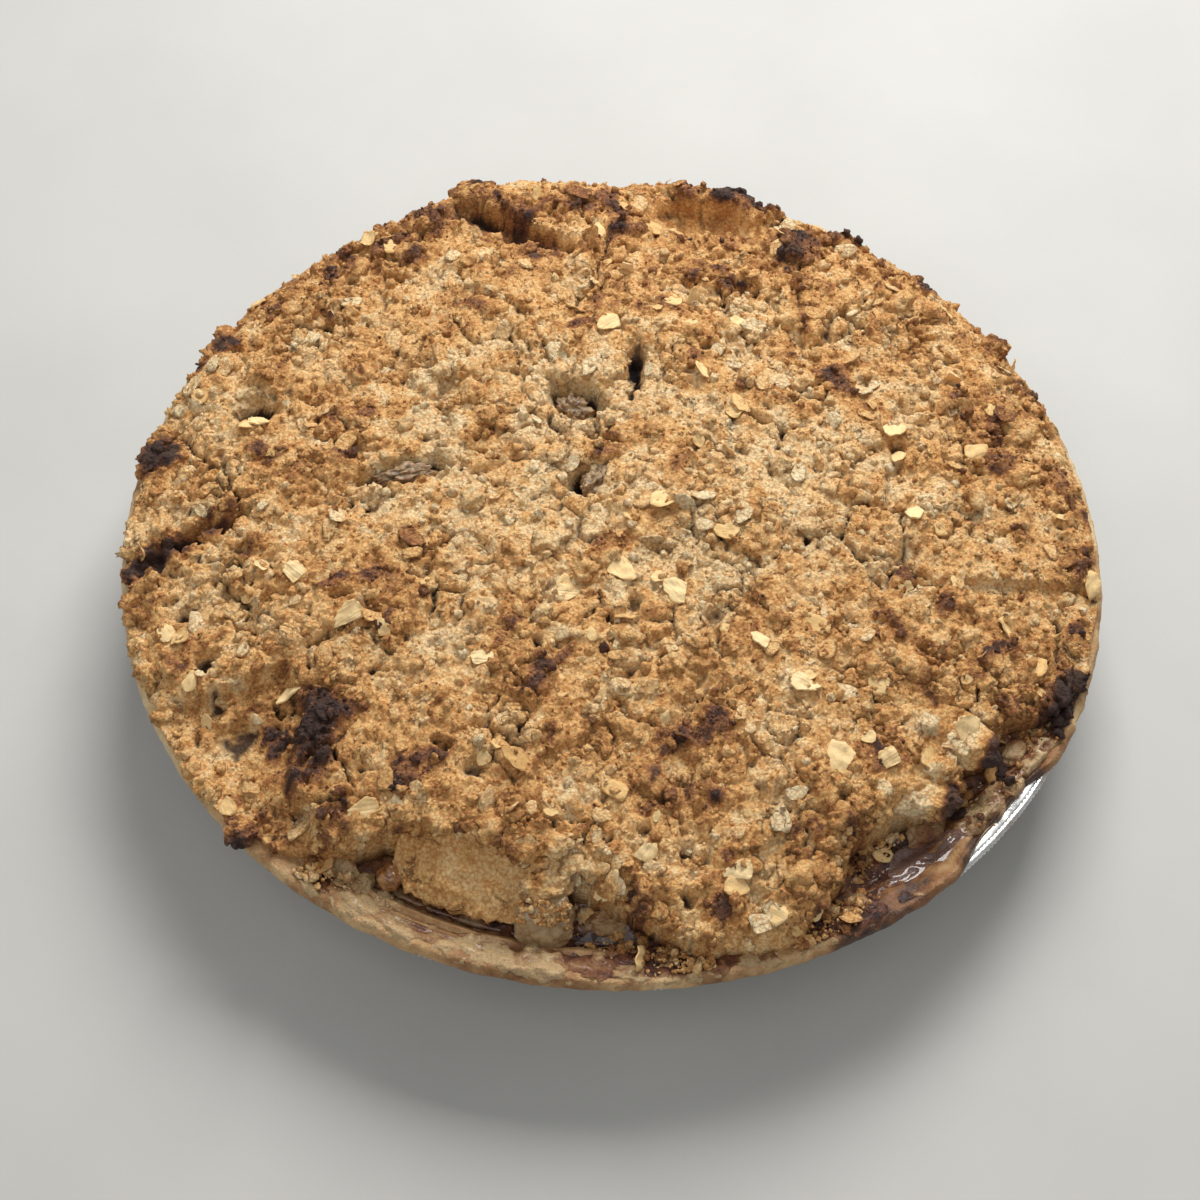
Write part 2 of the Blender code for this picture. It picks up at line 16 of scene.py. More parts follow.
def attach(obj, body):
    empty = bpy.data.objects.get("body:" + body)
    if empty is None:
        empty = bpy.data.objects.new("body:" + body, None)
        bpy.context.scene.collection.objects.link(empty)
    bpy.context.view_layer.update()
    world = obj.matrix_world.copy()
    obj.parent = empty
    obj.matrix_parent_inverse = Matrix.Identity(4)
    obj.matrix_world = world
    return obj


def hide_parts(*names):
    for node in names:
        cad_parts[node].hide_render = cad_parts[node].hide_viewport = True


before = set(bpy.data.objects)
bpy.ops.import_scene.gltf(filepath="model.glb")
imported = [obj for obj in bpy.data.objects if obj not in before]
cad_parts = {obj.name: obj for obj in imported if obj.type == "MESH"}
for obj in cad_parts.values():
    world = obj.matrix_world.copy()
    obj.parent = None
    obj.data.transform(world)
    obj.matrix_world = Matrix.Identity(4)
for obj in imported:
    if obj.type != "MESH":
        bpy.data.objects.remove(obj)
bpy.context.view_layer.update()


# Foil tin: thin pressed aluminium, with a flat base, a flared side in upright pleats
# and a flat flange. It is one sheet, drawn here as one closed wall turned about Z.
MM = 0.001
TIN_RADIUS = 115.0
FLANGE_HEIGHT = 28.0
SIDE_FOOT_RADIUS = 83.0
SIDE_TOP_RADIUS = 108.5
FOIL = 0.5
PLEATS = 50
PLEAT_DEPTH = 0.8
STEPS_PER_PLEAT = 12


def softened(line, rounds):
    """The line of (radius, height) points with its corners cut round, its ends kept."""
    for _ in range(rounds):
        points = [line[0]]
        for (r1, z1), (r2, z2) in zip(line, line[1:]):
            points.append((0.75 * r1 + 0.25 * r2, 0.75 * z1 + 0.25 * z2))
            points.append((0.25 * r1 + 0.75 * r2, 0.25 * z1 + 0.75 * z2))
        line = points + [line[-1]]
    return line


def spun(shape, geom, angle, steps, copies=False):
    """Spins points and edges to a skin about Z, or copies what is there round it."""
    bmesh.ops.spin(
        shape, geom=geom, axis=(0, 0, 1), cent=(0, 0, 0), angle=angle, steps=steps, use_duplicate=copies,
    )


def turned(profile, steps, ring=False, span=360):
    """A shape turned about Z from a line of (radius, height), which a ring closes on itself.
    A twentieth of the span is spun finely and then copied round, which is quick."""
    shape = bmesh.new()
    points = [shape.verts.new((radius, 0, height)) for radius, height in profile]
    edges = [shape.edges.new(pair) for pair in zip(points, points[1:])]
    if ring:
        edges.append(shape.edges.new((points[-1], points[0])))
    spun(shape, points + edges, math.radians(span) / 20, steps // 20)
    spun(shape, shape.verts[:] + shape.edges[:] + shape.faces[:], math.radians(span) * 19 / 20, 19, copies=True)
    bmesh.ops.remove_doubles(shape, verts=shape.verts, dist=0.002)
    return shape


def move_out(vertex, distance):
    """Moves the vertex away from the pie's axis."""
    radius = math.hypot(vertex.co.x, vertex.co.y)
    vertex.co.x *= 1 + distance / radius
    vertex.co.y *= 1 + distance / radius


def add_piece(name, shape, look, node, values=None):
    """Makes a piece of the pie from its bmesh, in metres, with its look and its values."""
    bmesh.ops.recalc_face_normals(shape, faces=shape.faces)
    mesh = bpy.data.meshes.new(name)
    shape.to_mesh(mesh)
    shape.free()
    return add_mesh(mesh, look, node, values)


def add_mesh(mesh, look, node, values=None):
    """Makes a piece of the pie from a mesh in millimetres."""
    mesh.transform(Matrix.Scale(MM, 4))
    mesh.shade_smooth()
    mesh.materials.append(look)
    for key, numbers in (values or {}).items():
        mesh.attributes.new(key, "FLOAT", "POINT").data.foreach_set("value", np.asarray(numbers, np.float32))
    piece = bpy.data.objects.new(mesh.name, mesh)
    bpy.context.scene.collection.objects.link(piece)
    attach(piece, "root")
    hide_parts(node)
    return piece


def paint(red, green, blue):
    """A colour given as seen on a screen, 0 to 255, as the shader wants it."""
    shares = [value / 255 for value in (red, green, blue)]
    linear = [s / 12.92 if s < 0.04045 else ((s + 0.055) / 1.055) ** 2.4 for s in shares]
    return (*linear, 1.0)


def new_look(name, roughness, **settings):
    """A material with its node tree and its main shader."""
    look = bpy.data.materials.new(name)
    look.use_nodes = True
    surface = look.node_tree.nodes["Principled BSDF"]
    surface.inputs["Roughness"].default_value = roughness
    for key, value in settings.items():
        surface.inputs[key.replace("_", " ")].default_value = value
    return look, look.node_tree, surface


def feed(tree, socket, value):
    """Gives the socket a value, or joins another node's output to it."""
    if isinstance(value, bpy.types.NodeSocket):
        tree.links.new(value, socket)
    else:
        socket.default_value = value


def place_of(tree):
    """The place on the pie, in metres."""
    return tree.nodes.new("ShaderNodeTexCoord").outputs["Object"]


def speckle(tree, place, size, detail=2.0, rough=0.5, warp=0.0):
    """Random light and dark from 0 to 1 in spots of about that many millimetres."""
    made = tree.nodes.new("ShaderNodeTexNoise")
    feed(tree, made.inputs["Vector"], place)
    made.inputs["Scale"].default_value = 1 / (size * MM)
    made.inputs["Detail"].default_value = detail
    made.inputs["Roughness"].default_value = rough
    made.inputs["Distortion"].default_value = warp
    return made.outputs["Fac"]


def grains(tree, place, size):
    """Distance from the middle of the nearest grain, for grains of about that size."""
    made = tree.nodes.new("ShaderNodeTexVoronoi")
    feed(tree, made.inputs["Vector"], place)
    made.inputs["Scale"].default_value = 1 / (size * MM)
    return made.outputs["Distance"]


def maths(tree, operation, first, second=0.0, third=0.0):
    """One sum, such as MULTIPLY, or MULTIPLY_ADD for first * second + third."""
    made = tree.nodes.new("ShaderNodeMath")
    made.operation = operation
    for socket, value in zip(made.inputs, (first, second, third)):
        feed(tree, socket, value)
    return made.outputs[0]


def spread(tree, value, low, high, new_low=0.0, new_high=1.0):
    """Stretches the range low to high onto the new range, held inside it."""
    made = tree.nodes.new("ShaderNodeMapRange")
    keys = ("Value", "From Min", "From Max", "To Min", "To Max")
    for key, number in zip(keys, (value, low, high, new_low, new_high)):
        feed(tree, made.inputs[key], number)
    return made.outputs["Result"]


def shades(tree, value, *stops):
    """Colours from a value: each stop is a place from 0 to 1 and a colour."""
    made = tree.nodes.new("ShaderNodeValToRGB")
    band = made.color_ramp
    while len(band.elements) < len(stops):
        band.elements.new(0.5)
    for element, (position, colour) in zip(band.elements, stops):
        element.position = position
        element.color = colour
    feed(tree, made.inputs["Fac"], value)
    return made.outputs["Color"]


def mixed(tree, share, first, second, mode="MIX"):
    """The first colour with a share of the second laid over it."""
    made = tree.nodes.new("ShaderNodeMix")
    made.data_type = "RGBA"
    made.blend_type = mode
    feed(tree, made.inputs[0], share)
    feed(tree, made.inputs[6], first)
    feed(tree, made.inputs[7], second)
    return made.outputs[2]


def raised(tree, surface, height, depth, strength=1.0, under=None):
    """Fine relief: the height, 0 to 1, stands up by that many millimetres."""
    made = tree.nodes.new("ShaderNodeBump")
    made.inputs["Strength"].default_value = strength
    made.inputs["Distance"].default_value = depth * MM
    feed(tree, made.inputs["Height"], height)
    if under:
        feed(tree, made.inputs["Normal"], under)
    feed(tree, surface.inputs["Normal"], made.outputs["Normal"])
    return made.outputs["Normal"]


def foil_look(name, stain_share):
    """Bright rolled foil with soft dents, fine rolling lines and baked-on juice."""
    look, tree, surface = new_look(name, 0.3, Metallic=1.0)
    place = place_of(tree)
    dull = speckle(tree, place, 9, 3)
    colour = shades(tree, dull, (0.3, paint(222, 221, 217)), (0.7, paint(244, 244, 241)))
    stain = maths(tree, "MULTIPLY", spread(tree, speckle(tree, place, 13, 5, 0.65), 0.52, 0.68), stain_share)
    feed(tree, surface.inputs["Base Color"], mixed(tree, stain, colour, paint(150, 106, 58)))
    feed(tree, surface.inputs["Roughness"], spread(tree, speckle(tree, place, 4, 4), 0.3, 0.75, 0.2, 0.42))
    dents = raised(tree, surface, speckle(tree, place, 5, 3), 0.5, 0.5)
    raised(tree, surface, speckle(tree, place, 0.7, 2), 0.05, 0.4, dents)
    return look


inside_wall = [(0, FOIL), (40, FOIL), (60, FOIL), (61, FOIL + 0.5), (64, FOIL + 0.5), (65, FOIL), (78, FOIL)]
inside_wall += [(SIDE_FOOT_RADIUS, FOIL), (87, 4.8), (91, 9.1), (96, 14.5), (101, 19.9), (105, 24.2)]
flange = [(SIDE_TOP_RADIUS, FLANGE_HEIGHT), (110.5, FLANGE_HEIGHT), (113.2, FLANGE_HEIGHT - 0.2), (113.6, 27.2)]
outside_wall = [(113.2, 26.9), (110.5, 27.4), (109, 27.4), (105.5, 23.7), (101.5, 19.4), (96.5, 14.0)]
outside_wall += [(91.5, 8.6), (87.5, 4.3), (83.6, 0.1), (78, 0), (65, 0), (64, 0.5), (61, 0.5), (60, 0), (0, 0)]
tin = turned(softened(inside_wall + flange + outside_wall, 1), PLEATS * STEPS_PER_PLEAT)
for vertex in tin.verts:
    radius = math.hypot(vertex.co.x, vertex.co.y)
    on_side = min(1.0, max(0.0, (radius - 84.5) / 3)) * min(1.0, max(0.0, (109.2 - radius) / 1.5))
    if on_side:
        wave = math.cos(PLEATS * math.atan2(vertex.co.y, vertex.co.x))
        crease = math.copysign(abs(wave) ** 0.6, wave)
        dent = 0.22 * noise.noise(vertex.co / 7) + 0.35 * noise.noise(vertex.co / 24)
        move_out(vertex, on_side * (0.5 * PLEAT_DEPTH * (1 + crease) + dent))
    elif radius > 109:
        vertex.co.z += 0.18 * noise.noise(vertex.co / 9)
add_piece("tin_wall", tin, foil_look("pressed_foil", 0.35), "foil_tin")


# Rim of the tin: the foil's edge rolled into a bead and knurled all round, which
# shows as a bright strip at the right of the front, where the pastry has shrunk back.
KNURLS = 560
RIM_MIDDLE = (113.4, 27.15)
RIM_HALF_WIDTH = 1.0
RIM_HALF_HEIGHT = 0.8
KNURL_DEPTH = 0.3
RIM_SIDES = 10

circle = [2 * math.pi * index / RIM_SIDES for index in range(RIM_SIDES)]
rim_line = [
    (RIM_MIDDLE[0] + RIM_HALF_WIDTH * math.cos(turn), RIM_MIDDLE[1] + RIM_HALF_HEIGHT * math.sin(turn))
    for turn in circle
]
rim = turned(rim_line, 2 * KNURLS, ring=True)
for vertex in rim.verts:
    radius = math.hypot(vertex.co.x, vertex.co.y)
    direction = math.atan2(vertex.co.y, vertex.co.x)
    knurl = (-1) ** round(direction / math.pi * KNURLS)
    wander = 0.14 * noise.noise(vertex.co / 6) + 0.2 * noise.noise(vertex.co / 21)
    out = Vector((radius - RIM_MIDDLE[0], vertex.co.z - RIM_MIDDLE[1])).normalized()
    push = KNURL_DEPTH * knurl * (0.6 + 0.8 * noise.noise(vertex.co / 4)) + wander
    vertex.co.z += out.y * push
    move_out(vertex, min(out.x * push, TIN_RADIUS + 0.1 - radius))
add_piece("tin_rim", rim, foil_look("knurled_foil", 0.8), "foil_tin")


# Pastry shell: shortcrust that lines the tin and folds over its flange. Its baked edge
# is a thin pale tan band, browned in places, and has shrunk back from the tin's rim between
# 312 and 333 degrees.
PASTRY_STEPS = 720
PASTRY_SHRINKAGE = 3.6
CREST_RADIUS = 111.6


def smooth_step(low, high, value):
    """0 below low and 1 above high, with a soft rise between them."""
    share = np.clip((np.asarray(value, float) - low) / (high - low), 0, 1)
    return share * share * (3 - 2 * share)


def band(value, rise_from, rise_to, fall_from, fall_to):
    """1 between rise_to and fall_from and 0 outside the band, with soft sides."""
    return smooth_step(rise_from, rise_to, value) * (1 - smooth_step(fall_from, fall_to, value))


def direction_of(x, y):
    """Degrees round the pie, from 0 at the right through 90 at the back."""
    return np.degrees(np.arctan2(y, x)) % 360


def shrunk_back(direction):
    """How far the pastry has shrunk back from the tin's rim, from 0 to 1."""
    return band(direction, 312, 319.5, 326.5, 333)


def hollow_dip(radius, direction):
    """How many millimetres the pastry's rim is sunk in front of the hollow."""
    return 1.7 * band(direction, 240, 246, 257, 263) * band(radius, 103.6, 105.8, 108.4, 111.4)


def points_of(shape):
    """The x, y and z of every vertex of a bmesh."""
    shape.verts.ensure_lookup_table()
    return np.array([vertex.co for vertex in shape.verts]).T


def clouds(x, y, size, key=0.0):
    """Smooth random values, about -0.7 to 0.7, that change over that many millimetres."""
    pairs = zip(np.ravel(x).tolist(), np.ravel(y).tolist())
    values = [noise.noise((a / size, b / size, key)) for a, b in pairs]
    return np.array(values).reshape(np.shape(x))


under_line = [(0, 4.8), (79, 4.8), (80.5, 4.9), (88, 11.5), (96, 18.8), (103.5, 25.5)]
rim_line = [
    (105.7, 28.2), (108.6, 30.1), (111.6, 31.0), (113.6, 30.7), (114.7, 29.9), (115.1, 28.8),
    (115.0, 27.8), (114.6, 27.5), (114.0, 28.0), (112.6, 28.3),
]
outer_line = [(110.6, 28.3), (108.2, 28.3), (102, 21.8), (95, 14.0), (88, 6.5), (82.8, 0.8), (0, 0.8)]
rim_line = softened(under_line[-1:] + rim_line + outer_line[:1], 2)
pastry = turned(under_line[:-1] + rim_line + outer_line[1:], PASTRY_STEPS)
x, y, z = points_of(pastry)
radius, direction = np.hypot(x, y), direction_of(x, y)
shrunk = shrunk_back(direction)
on_flange = np.maximum(smooth_step(28.35, 28.9, z), smooth_step(114.2, 114.8, radius))
on_rim = smooth_step(104, 107, radius) * on_flange
on_edge = smooth_step(CREST_RADIUS - 1.5, CREST_RADIUS + 1.5, radius) * on_rim
wander = clouds(x, y, 11)
crumbly = 0.5 * clouds(x, y, 3.1, 4) + 0.28 * clouds(x, y, 1.2, 9)
drawn_in = shrunk * (z > 27.2) * np.maximum(0, radius - 109.2)
inward = 0.62 * drawn_in - (1 - shrunk) * on_edge * (0.25 * wander + 0.6 * crumbly)
flat = 1.1 * band(direction, 229, 236, 344, 351) * band(radius, 105, 108, 111.5, 114.3)
flat += hollow_dip(radius, direction)
lumpy = 0.9 * clouds(x, y, 5.5, 14) * band(direction, 232, 240, 345, 350) - flat
rise = on_rim * (0.4 * wander - 0.9 * shrunk + 0.55 * crumbly + lumpy)
rise += (drawn_in > 0) * shrunk * np.maximum(0, 28.4 - z)
for vertex, pull, lift in zip(pastry.verts, inward, rise):
    if pull or lift:
        vertex.co.z += lift
        move_out(vertex, -pull)
browning_and_gap_shade = 0.36 + 0.3 * clouds(x, y, 9, 3) + 0.25 * clouds(x, y, 28, 5) + 0.2 * clouds(x, y, 3, 6)
# Along the shrunk-back edge the pastry is darker, partly burnt crust and partly painted shade of the gap
# against the foil.
browning_and_gap_shade += 0.7 * shrunk * smooth_step(110.6, 112.6, radius)
browning_and_gap_shade += 0.22 * band(direction, 226, 238, 345, 352) + 0.3 * band(direction, 294, 300, 312, 318)


def carried(tree, name):
    """A value that the mesh carries at its points."""
    made = tree.nodes.new("ShaderNodeAttribute")
    made.attribute_name = name
    return made.outputs["Fac"]


look, tree, surface = new_look(
    "baked_pastry", 0.6, Subsurface_Weight=0.08, Subsurface_Scale=0.001, Coat_Weight=0.06, Coat_Roughness=0.3,
)
place = place_of(tree)
mottle = maths(tree, "MULTIPLY_ADD", speckle(tree, place, 2.2, 4, 0.6), 0.55, -0.27)
bake_depth = maths(tree, "ADD", carried(tree, "browning_and_gap_shade"), mottle)
crust = shades(
    tree, bake_depth, (0.05, paint(234, 206, 158)), (0.35, paint(208, 172, 122)), (0.6, paint(170, 128, 82)),
    (0.8, paint(132, 86, 44)), (1.0, paint(76, 46, 26)),
)
fleck = spread(tree, grains(tree, place, 1.3), 0.0, 0.25, 0.35, 0.0)
feed(tree, surface.inputs["Base Color"], mixed(tree, fleck, crust, paint(150, 100, 58)))
feed(tree, surface.inputs["Roughness"], spread(tree, bake_depth, 0.3, 0.9, 0.68, 0.42))
flaky = raised(tree, surface, speckle(tree, place, 1.8, 4, 0.7), 0.9, 1.0)
raised(tree, surface, speckle(tree, place, 0.6, 3, 0.6), 0.35, 0.9, flaky)
add_piece("pastry_shell_baked", pastry, look, "pastry_shell", {"browning_and_gap_shade": browning_and_gap_shade})


# Apple filling: apple stewed soft in thick brown juice, heaped in the shell. It shows wet
# and glossy where the crumble has broken away; its top is turned, then swollen by noise.
FILLING_RADIUS = 104.3
FILLING_RIM_HEIGHT = 28.2
FILLING_RISE = 10.0
SINK_DEPTH = 3.6
HOLLOW_DEPTH = 2.0
FILLING_STEPS = 900
SINK_BY_DIRECTION = (
    (0, 0.0), (228, 0.0), (240, 1.0), (270, 1.0), (281, 0.2), (300, 0.2),
    (311, 0.9), (324, 0.9), (336, 0.0), (360, 0.0),
)


def along(table, place):
    """The value of a table of (place, value) pairs, the place a direction or a radius."""
    places, values = zip(*table)
    return np.interp(place, places, values)


def filling_height(x, y):
    """The filling's top, sunk where it is bare at the front and lowest in the hollow."""
    radius, direction = np.hypot(x, y), direction_of(x, y)
    crown = FILLING_RISE * np.maximum(0, 1 - (radius / FILLING_RADIUS) ** 2)
    sunk = SINK_DEPTH * along(SINK_BY_DIRECTION, direction) * smooth_step(84, 95, radius)
    hollow = band(direction, 240, 246, 256, 262) * smooth_step(88, 94, radius)
    return FILLING_RIM_HEIGHT + crown - sunk - HOLLOW_DEPTH * hollow


def stewed_look(name):
    """Wet stewed apple: dark juice in the hollows, red brown jam, tan and cream apple above."""
    look, tree, surface = new_look(
        name, 0.2, Subsurface_Weight=0.22, Subsurface_Scale=0.002, Subsurface_Radius=(1.0, 0.55, 0.25),
        Coat_Roughness=0.07,
    )
    place, wet = place_of(tree), carried(tree, "wet")
    feed(tree, surface.inputs["Coat Weight"], spread(tree, wet, 0.0, 1.0, 0.05, 0.9))
    mottle = maths(tree, "MULTIPLY_ADD", speckle(tree, place, 2.6, 5, 0.62, 0.6), 0.9, -0.45)
    fruit = maths(tree, "ADD", carried(tree, "rise"), mottle)
    colour = shades(
        tree, fruit, (0.0, paint(48, 24, 18)), (0.22, paint(92, 48, 28)), (0.42, paint(132, 84, 48)),
        (0.62, paint(158, 120, 80)), (0.85, paint(190, 160, 116)),
    )
    freckle = spread(tree, speckle(tree, place, 0.8, 3, 0.6), 0.58, 0.72, 0.0, 0.5)
    colour = mixed(tree, freckle, colour, paint(128, 78, 42))
    in_juice = spread(tree, wet, 0.85, 1.0, 0.0, 0.75)
    feed(tree, surface.inputs["Base Color"], mixed(tree, in_juice, colour, paint(136, 106, 96)))
    feed(tree, surface.inputs["Roughness"], spread(tree, wet, 0.0, 1.0, 0.55, 0.14))
    bubbles = maths(tree, "MULTIPLY", grains(tree, place, 1.7), spread(tree, wet, 0.75, 1.0))
    bubbly = raised(tree, surface, maths(tree, "SUBTRACT", 1.0, bubbles), 0.7, 1.0)
    rippled = raised(tree, surface, speckle(tree, place, 2.0, 4, 0.65), 1.0, 0.9, bubbly)
    raised(tree, surface, speckle(tree, place, 0.7, 3, 0.65), 0.6, 1.0, rippled)
    return look


top_line = [(r, float(filling_height(0, r))) for r in (0, 12, 25, 40, 55, 68, 78, 84)]
top_line += [(r, float(filling_height(0, r))) for r in np.arange(85, 104, 0.7)]
filling = turned(top_line + [(103.4, 25.9), (98, 20.9), (90, 13.5), (79.9, 5.4), (0, 5.4)], FILLING_STEPS)
x, y, z = points_of(filling)
radius, direction = np.hypot(x, y), direction_of(x, y)
top = (z > 26.5) & (radius > 1)
bare = along(SINK_BY_DIRECTION, direction) * smooth_step(86, 93, radius)
swell = 1.5 * clouds(x, y, 7, 2) + 0.7 * clouds(x, y, 3, 6)
new_z = np.where(top, np.minimum(z, filling_height(x, y)) + (0.25 + 0.75 * bare) * swell - 0.4 * bare, z)
new_z = np.where(top & (radius > 102), np.maximum(new_z, 25.4), new_z)
for vertex, height, pull in zip(filling.verts, new_z, np.where(top & (radius > 101), 2.0 * bare, 0.0)):
    vertex.co.z = height
    if pull:
        move_out(vertex, -pull)
rise = 0.36 + 0.42 * swell + 0.3 * clouds(x, y, 14, 8)
rise -= 0.25 * band(direction, 262, 272, 284, 290)
values = {"rise": rise, "wet": 0.7 + 0.5 * clouds(x, y, 6, 5)}
add_piece("stewed_filling", filling, stewed_look("stewed_apple"), "apple_filling", values)


# Apple slices that lie bare on the filling at the front: cut wedges, cooked soft, smooth
# and wet, cream inside and brown along their edges. Each is a ball pressed to a slice.
SLICE_THICKNESS = 5.2
# The slices: the middle, half length, half width, turn and tilt.
SLICES = (
    (-30.0, -96.0, 22.6, 14.5, 5.0, -17, 12), (-57.5, -87.0, 27.6, 5.6, 3.2, -36, 12),
    (-52.0, -93.5, 27.2, 5.2, 2.3, 62, 6), (-47.0, -96.8, 26.8, 4.6, 2.2, 74, 4),
    (-56.0, -92.5, 27.4, 3.6, 2.0, 40, 0),
    (-38.0, -102.8, 26.0, 7.5, 2.6, -20, 24), (-24.0, -104.6, 26.4, 6.5, 2.4, -12, 24),
    (3.0, -98.0, 26.0, 6.0, 3.6, 8, 12), (13.0, -99.5, 26.2, 4.2, 2.6, -20, 12),
    (71.5, -72.0, 26.0, 5.0, 3.2, 42, 10), (86.8, -66.2, 28.8, 3.4, 2.4, 50, 0),
    (91.2, -60.6, 29.0, 3.6, 2.2, 58, 0), (82.4, -71.6, 28.2, 2.8, 2.0, 46, 0),
    (91.8, -52.2, 29.0, 3.6, 2.4, 64, 0),
)


def laid(place, turn, tilt):
    """The matrix that tilts a shape about X, turns it about Z and moves it to its place."""
    turned_by = Matrix.Rotation(math.radians(turn), 4, "Z") @ Matrix.Rotation(math.radians(tilt), 4, "X")
    return Matrix.Translation(place) @ turned_by


def pressed_ball(place, half_sizes, turn, tilt, roughness, finer, key, flatness=1.0):
    """A ball stretched to its half sizes, roughened, squared off by the flatness, turned and tilted."""
    shape = bmesh.new()
    bmesh.ops.create_icosphere(shape, subdivisions=finer, radius=1.0)
    for vertex in shape.verts:
        bulge = noise.noise(vertex.co * 1.9 + Vector((key, 0, 0)))
        bulge += 0.4 * noise.noise(vertex.co * 5 + Vector((0, key, 0)))
        vertex.co.z = math.copysign(abs(vertex.co.z) ** flatness, vertex.co.z)
        vertex.co *= 1 + roughness * bulge
    bmesh.ops.scale(shape, vec=half_sizes, verts=shape.verts)
    bmesh.ops.transform(shape, matrix=laid(place, turn, tilt), verts=shape.verts)
    return shape


def joined(shapes):
    """Several bmeshes made one."""
    whole = bmesh.new()
    for shape in shapes:
        part = bpy.data.meshes.new("part")
        shape.to_mesh(part)
        shape.free()
        whole.from_mesh(part)
        bpy.data.meshes.remove(part)
    return whole


wedges = []
for index, (x, y, z, half_length, half_width, turn, tilt) in enumerate(SLICES):
    half_sizes = (half_length, half_width, min(SLICE_THICKNESS / 2, 0.72 * half_width))
    finer = 6 if half_length > 10 else 5 if half_length > 4 else 4
    wedge = pressed_ball(Vector((x, y, z)), half_sizes, turn, tilt, 0.24, finer, index * 3.3, 0.8)
    for vertex in wedge.verts:
        vertex.co.z += 0.35 * noise.noise(vertex.co / 2.6)
    wedges.append(wedge)
wedges = joined(wedges)
x, y, z = points_of(wedges)
rise = 0.56 + 0.05 * (z - 26) + 0.3 * clouds(x, y, 5, 3) + 0.12 * (x < -34) - 0.1 * (x > 60)
values = {"rise": rise, "wet": 0.25 + 0.4 * clouds(x, y, 4, 9)}
add_piece("apple_slices", wedges, stewed_look("sliced_apple"), "apple_filling", values)


# Baked-on juice: where the crumble has broken away, juice and soft apple have run over the
# pastry's inner slope and set, tan at the left, red brown in the middle, dark and bubbly in
# the pool at the right. It is a thin sheet turned round the front, then swollen by noise.
JUICE_START = 228.0
JUICE_SPAN = 122.0
JUICE_STEPS = 360
JUICE_THICKNESS = 1.4
# The pool of juice: the middle, half length, half width and turn.
POOL = (72.0, -79.8, 12.5, 8.0, 40)
JUICE_EDGE = (
    (228, 110.0), (233, 114.6), (250, 115.4), (272, 115.4), (290, 115.4), (309, 115.2),
    (314, 111.4), (319, 109.8), (327, 109.8), (333, 112.6), (342, 114.4), (350, 111.0),
)
JUICE_PALENESS = (
    (228, 0.3), (234, 0.36), (239, 0.5), (246, 0.6), (258, 0.64), (265, 0.44), (269, 0.18), (284, 0.2),
    (290, 0.54), (296, 0.5), (300, 0.32), (309, 0.26), (314, 0.34), (320, 0.46), (330, 0.42), (336, 0.3),
    (350, 0.24),
)
PASTRY_SLOPE = (
    (85, 9.0), (96, 18.8), (103.5, 25.5), (105.7, 27.6), (108.6, 28.9), (111.6, 29.8), (113.4, 30.1),
    (114.4, 29.8), (115.0, 29.3),
)


def in_ellipse(x, y, centre_x, centre_y, half_length, half_width, turn):
    """Squared distance from the ellipse's centre, 1 at its outline."""
    angle = math.radians(turn)
    dx, dy = x - centre_x, y - centre_y
    along_it = dx * math.cos(angle) + dy * math.sin(angle)
    across_it = dy * math.cos(angle) - dx * math.sin(angle)
    return (along_it / half_length) ** 2 + (across_it / half_width) ** 2


def lumps(x, y, size, key):
    """Irregular lumps of about that size: how high each stands in its middle, the distance
    from its border and its luck, all from 0 to 1."""
    dome, border, luck = [], [], []
    for a, b in zip(np.ravel(x).tolist(), np.ravel(y).tolist()):
        distances, middles = noise.voronoi((a / size, b / size, key))
        dome.append(distances[0])
        border.append(distances[1] - distances[0])
        luck.append(noise.cell(middles[0] * 57.3))
    dome, border, luck = (np.array(values).reshape(np.shape(x)) for values in (dome, border, luck))
    return np.sqrt(1 - np.minimum(dome, 1) ** 2), border, luck % 1.0


reaches = np.arange(91, 115.1, 0.5)
sheet_line = [(r, 1.0) for r in reaches] + [(r, 0.0) for r in reaches[::-1]]
sheet = turned(sheet_line, JUICE_STEPS, ring=True, span=JUICE_SPAN)
bmesh.ops.rotate(sheet, verts=sheet.verts, matrix=Matrix.Rotation(math.radians(JUICE_START), 3, "Z"))
bmesh.ops.holes_fill(sheet, edges=[edge for edge in sheet.edges if edge.is_boundary])
x, y, z = points_of(sheet)
radius, direction = np.hypot(x, y), direction_of(x, y)
in_pool = np.exp(-in_ellipse(x, y, *POOL) ** 2)
bubble, _, _ = lumps(x, y, 2.3, 4)
pulp, _, _ = lumps(x + 2 * clouds(x, y, 5, 3), y + 2 * clouds(x, y, 5, 4), 6.5, 2)
swell = clouds(x, y, 6, 2) + 0.7 * clouds(x, y, 2.6, 6) + 0.5 * clouds(x, y, 1.2, 7) + 1.3 * (pulp - 0.85)
cream, _, cream_luck = lumps(x + 1.5 * clouds(x, y, 3, 15), y + 1.5 * clouds(x, y, 3, 16), 4.2, 8)
cream = (cream_luck > 0.62) * smooth_step(0.35, 0.95, cream) * smooth_step(103, 106, radius)
swell = swell * (1 - 0.7 * in_pool) + 1.5 * in_pool * (bubble - 0.85) + 0.8 * cream * (1 - in_pool)
slope = along(PASTRY_SLOPE, radius) - hollow_dip(radius, direction)
bed = np.maximum(slope, np.where(radius < 104, filling_height(x, y), 0))
bed -= 1.6 * in_pool * smooth_step(106, 110, radius)
edge = along(JUICE_EDGE, direction) + 1.6 * clouds(x, y, 7, 8) + 0.8 * clouds(x, y, 2.4, 9)
fall = 1.1 * np.maximum(0, radius - edge) + 0.5 * np.maximum(0, 94 - radius)
fall += 4 * (1 - smooth_step(230, 235, direction)) + 4 * smooth_step(342, 348, direction)
sheet_top = bed + 0.5 + swell - fall
lowest = np.minimum(slope - 1.9, 28.6) + np.maximum(0, 28.6 - slope + 1.9) * smooth_step(107.0, 108.4, radius)
lowest = np.where(z < 0.5, lowest, lowest + 0.15)
shrunk = shrunk_back(direction)
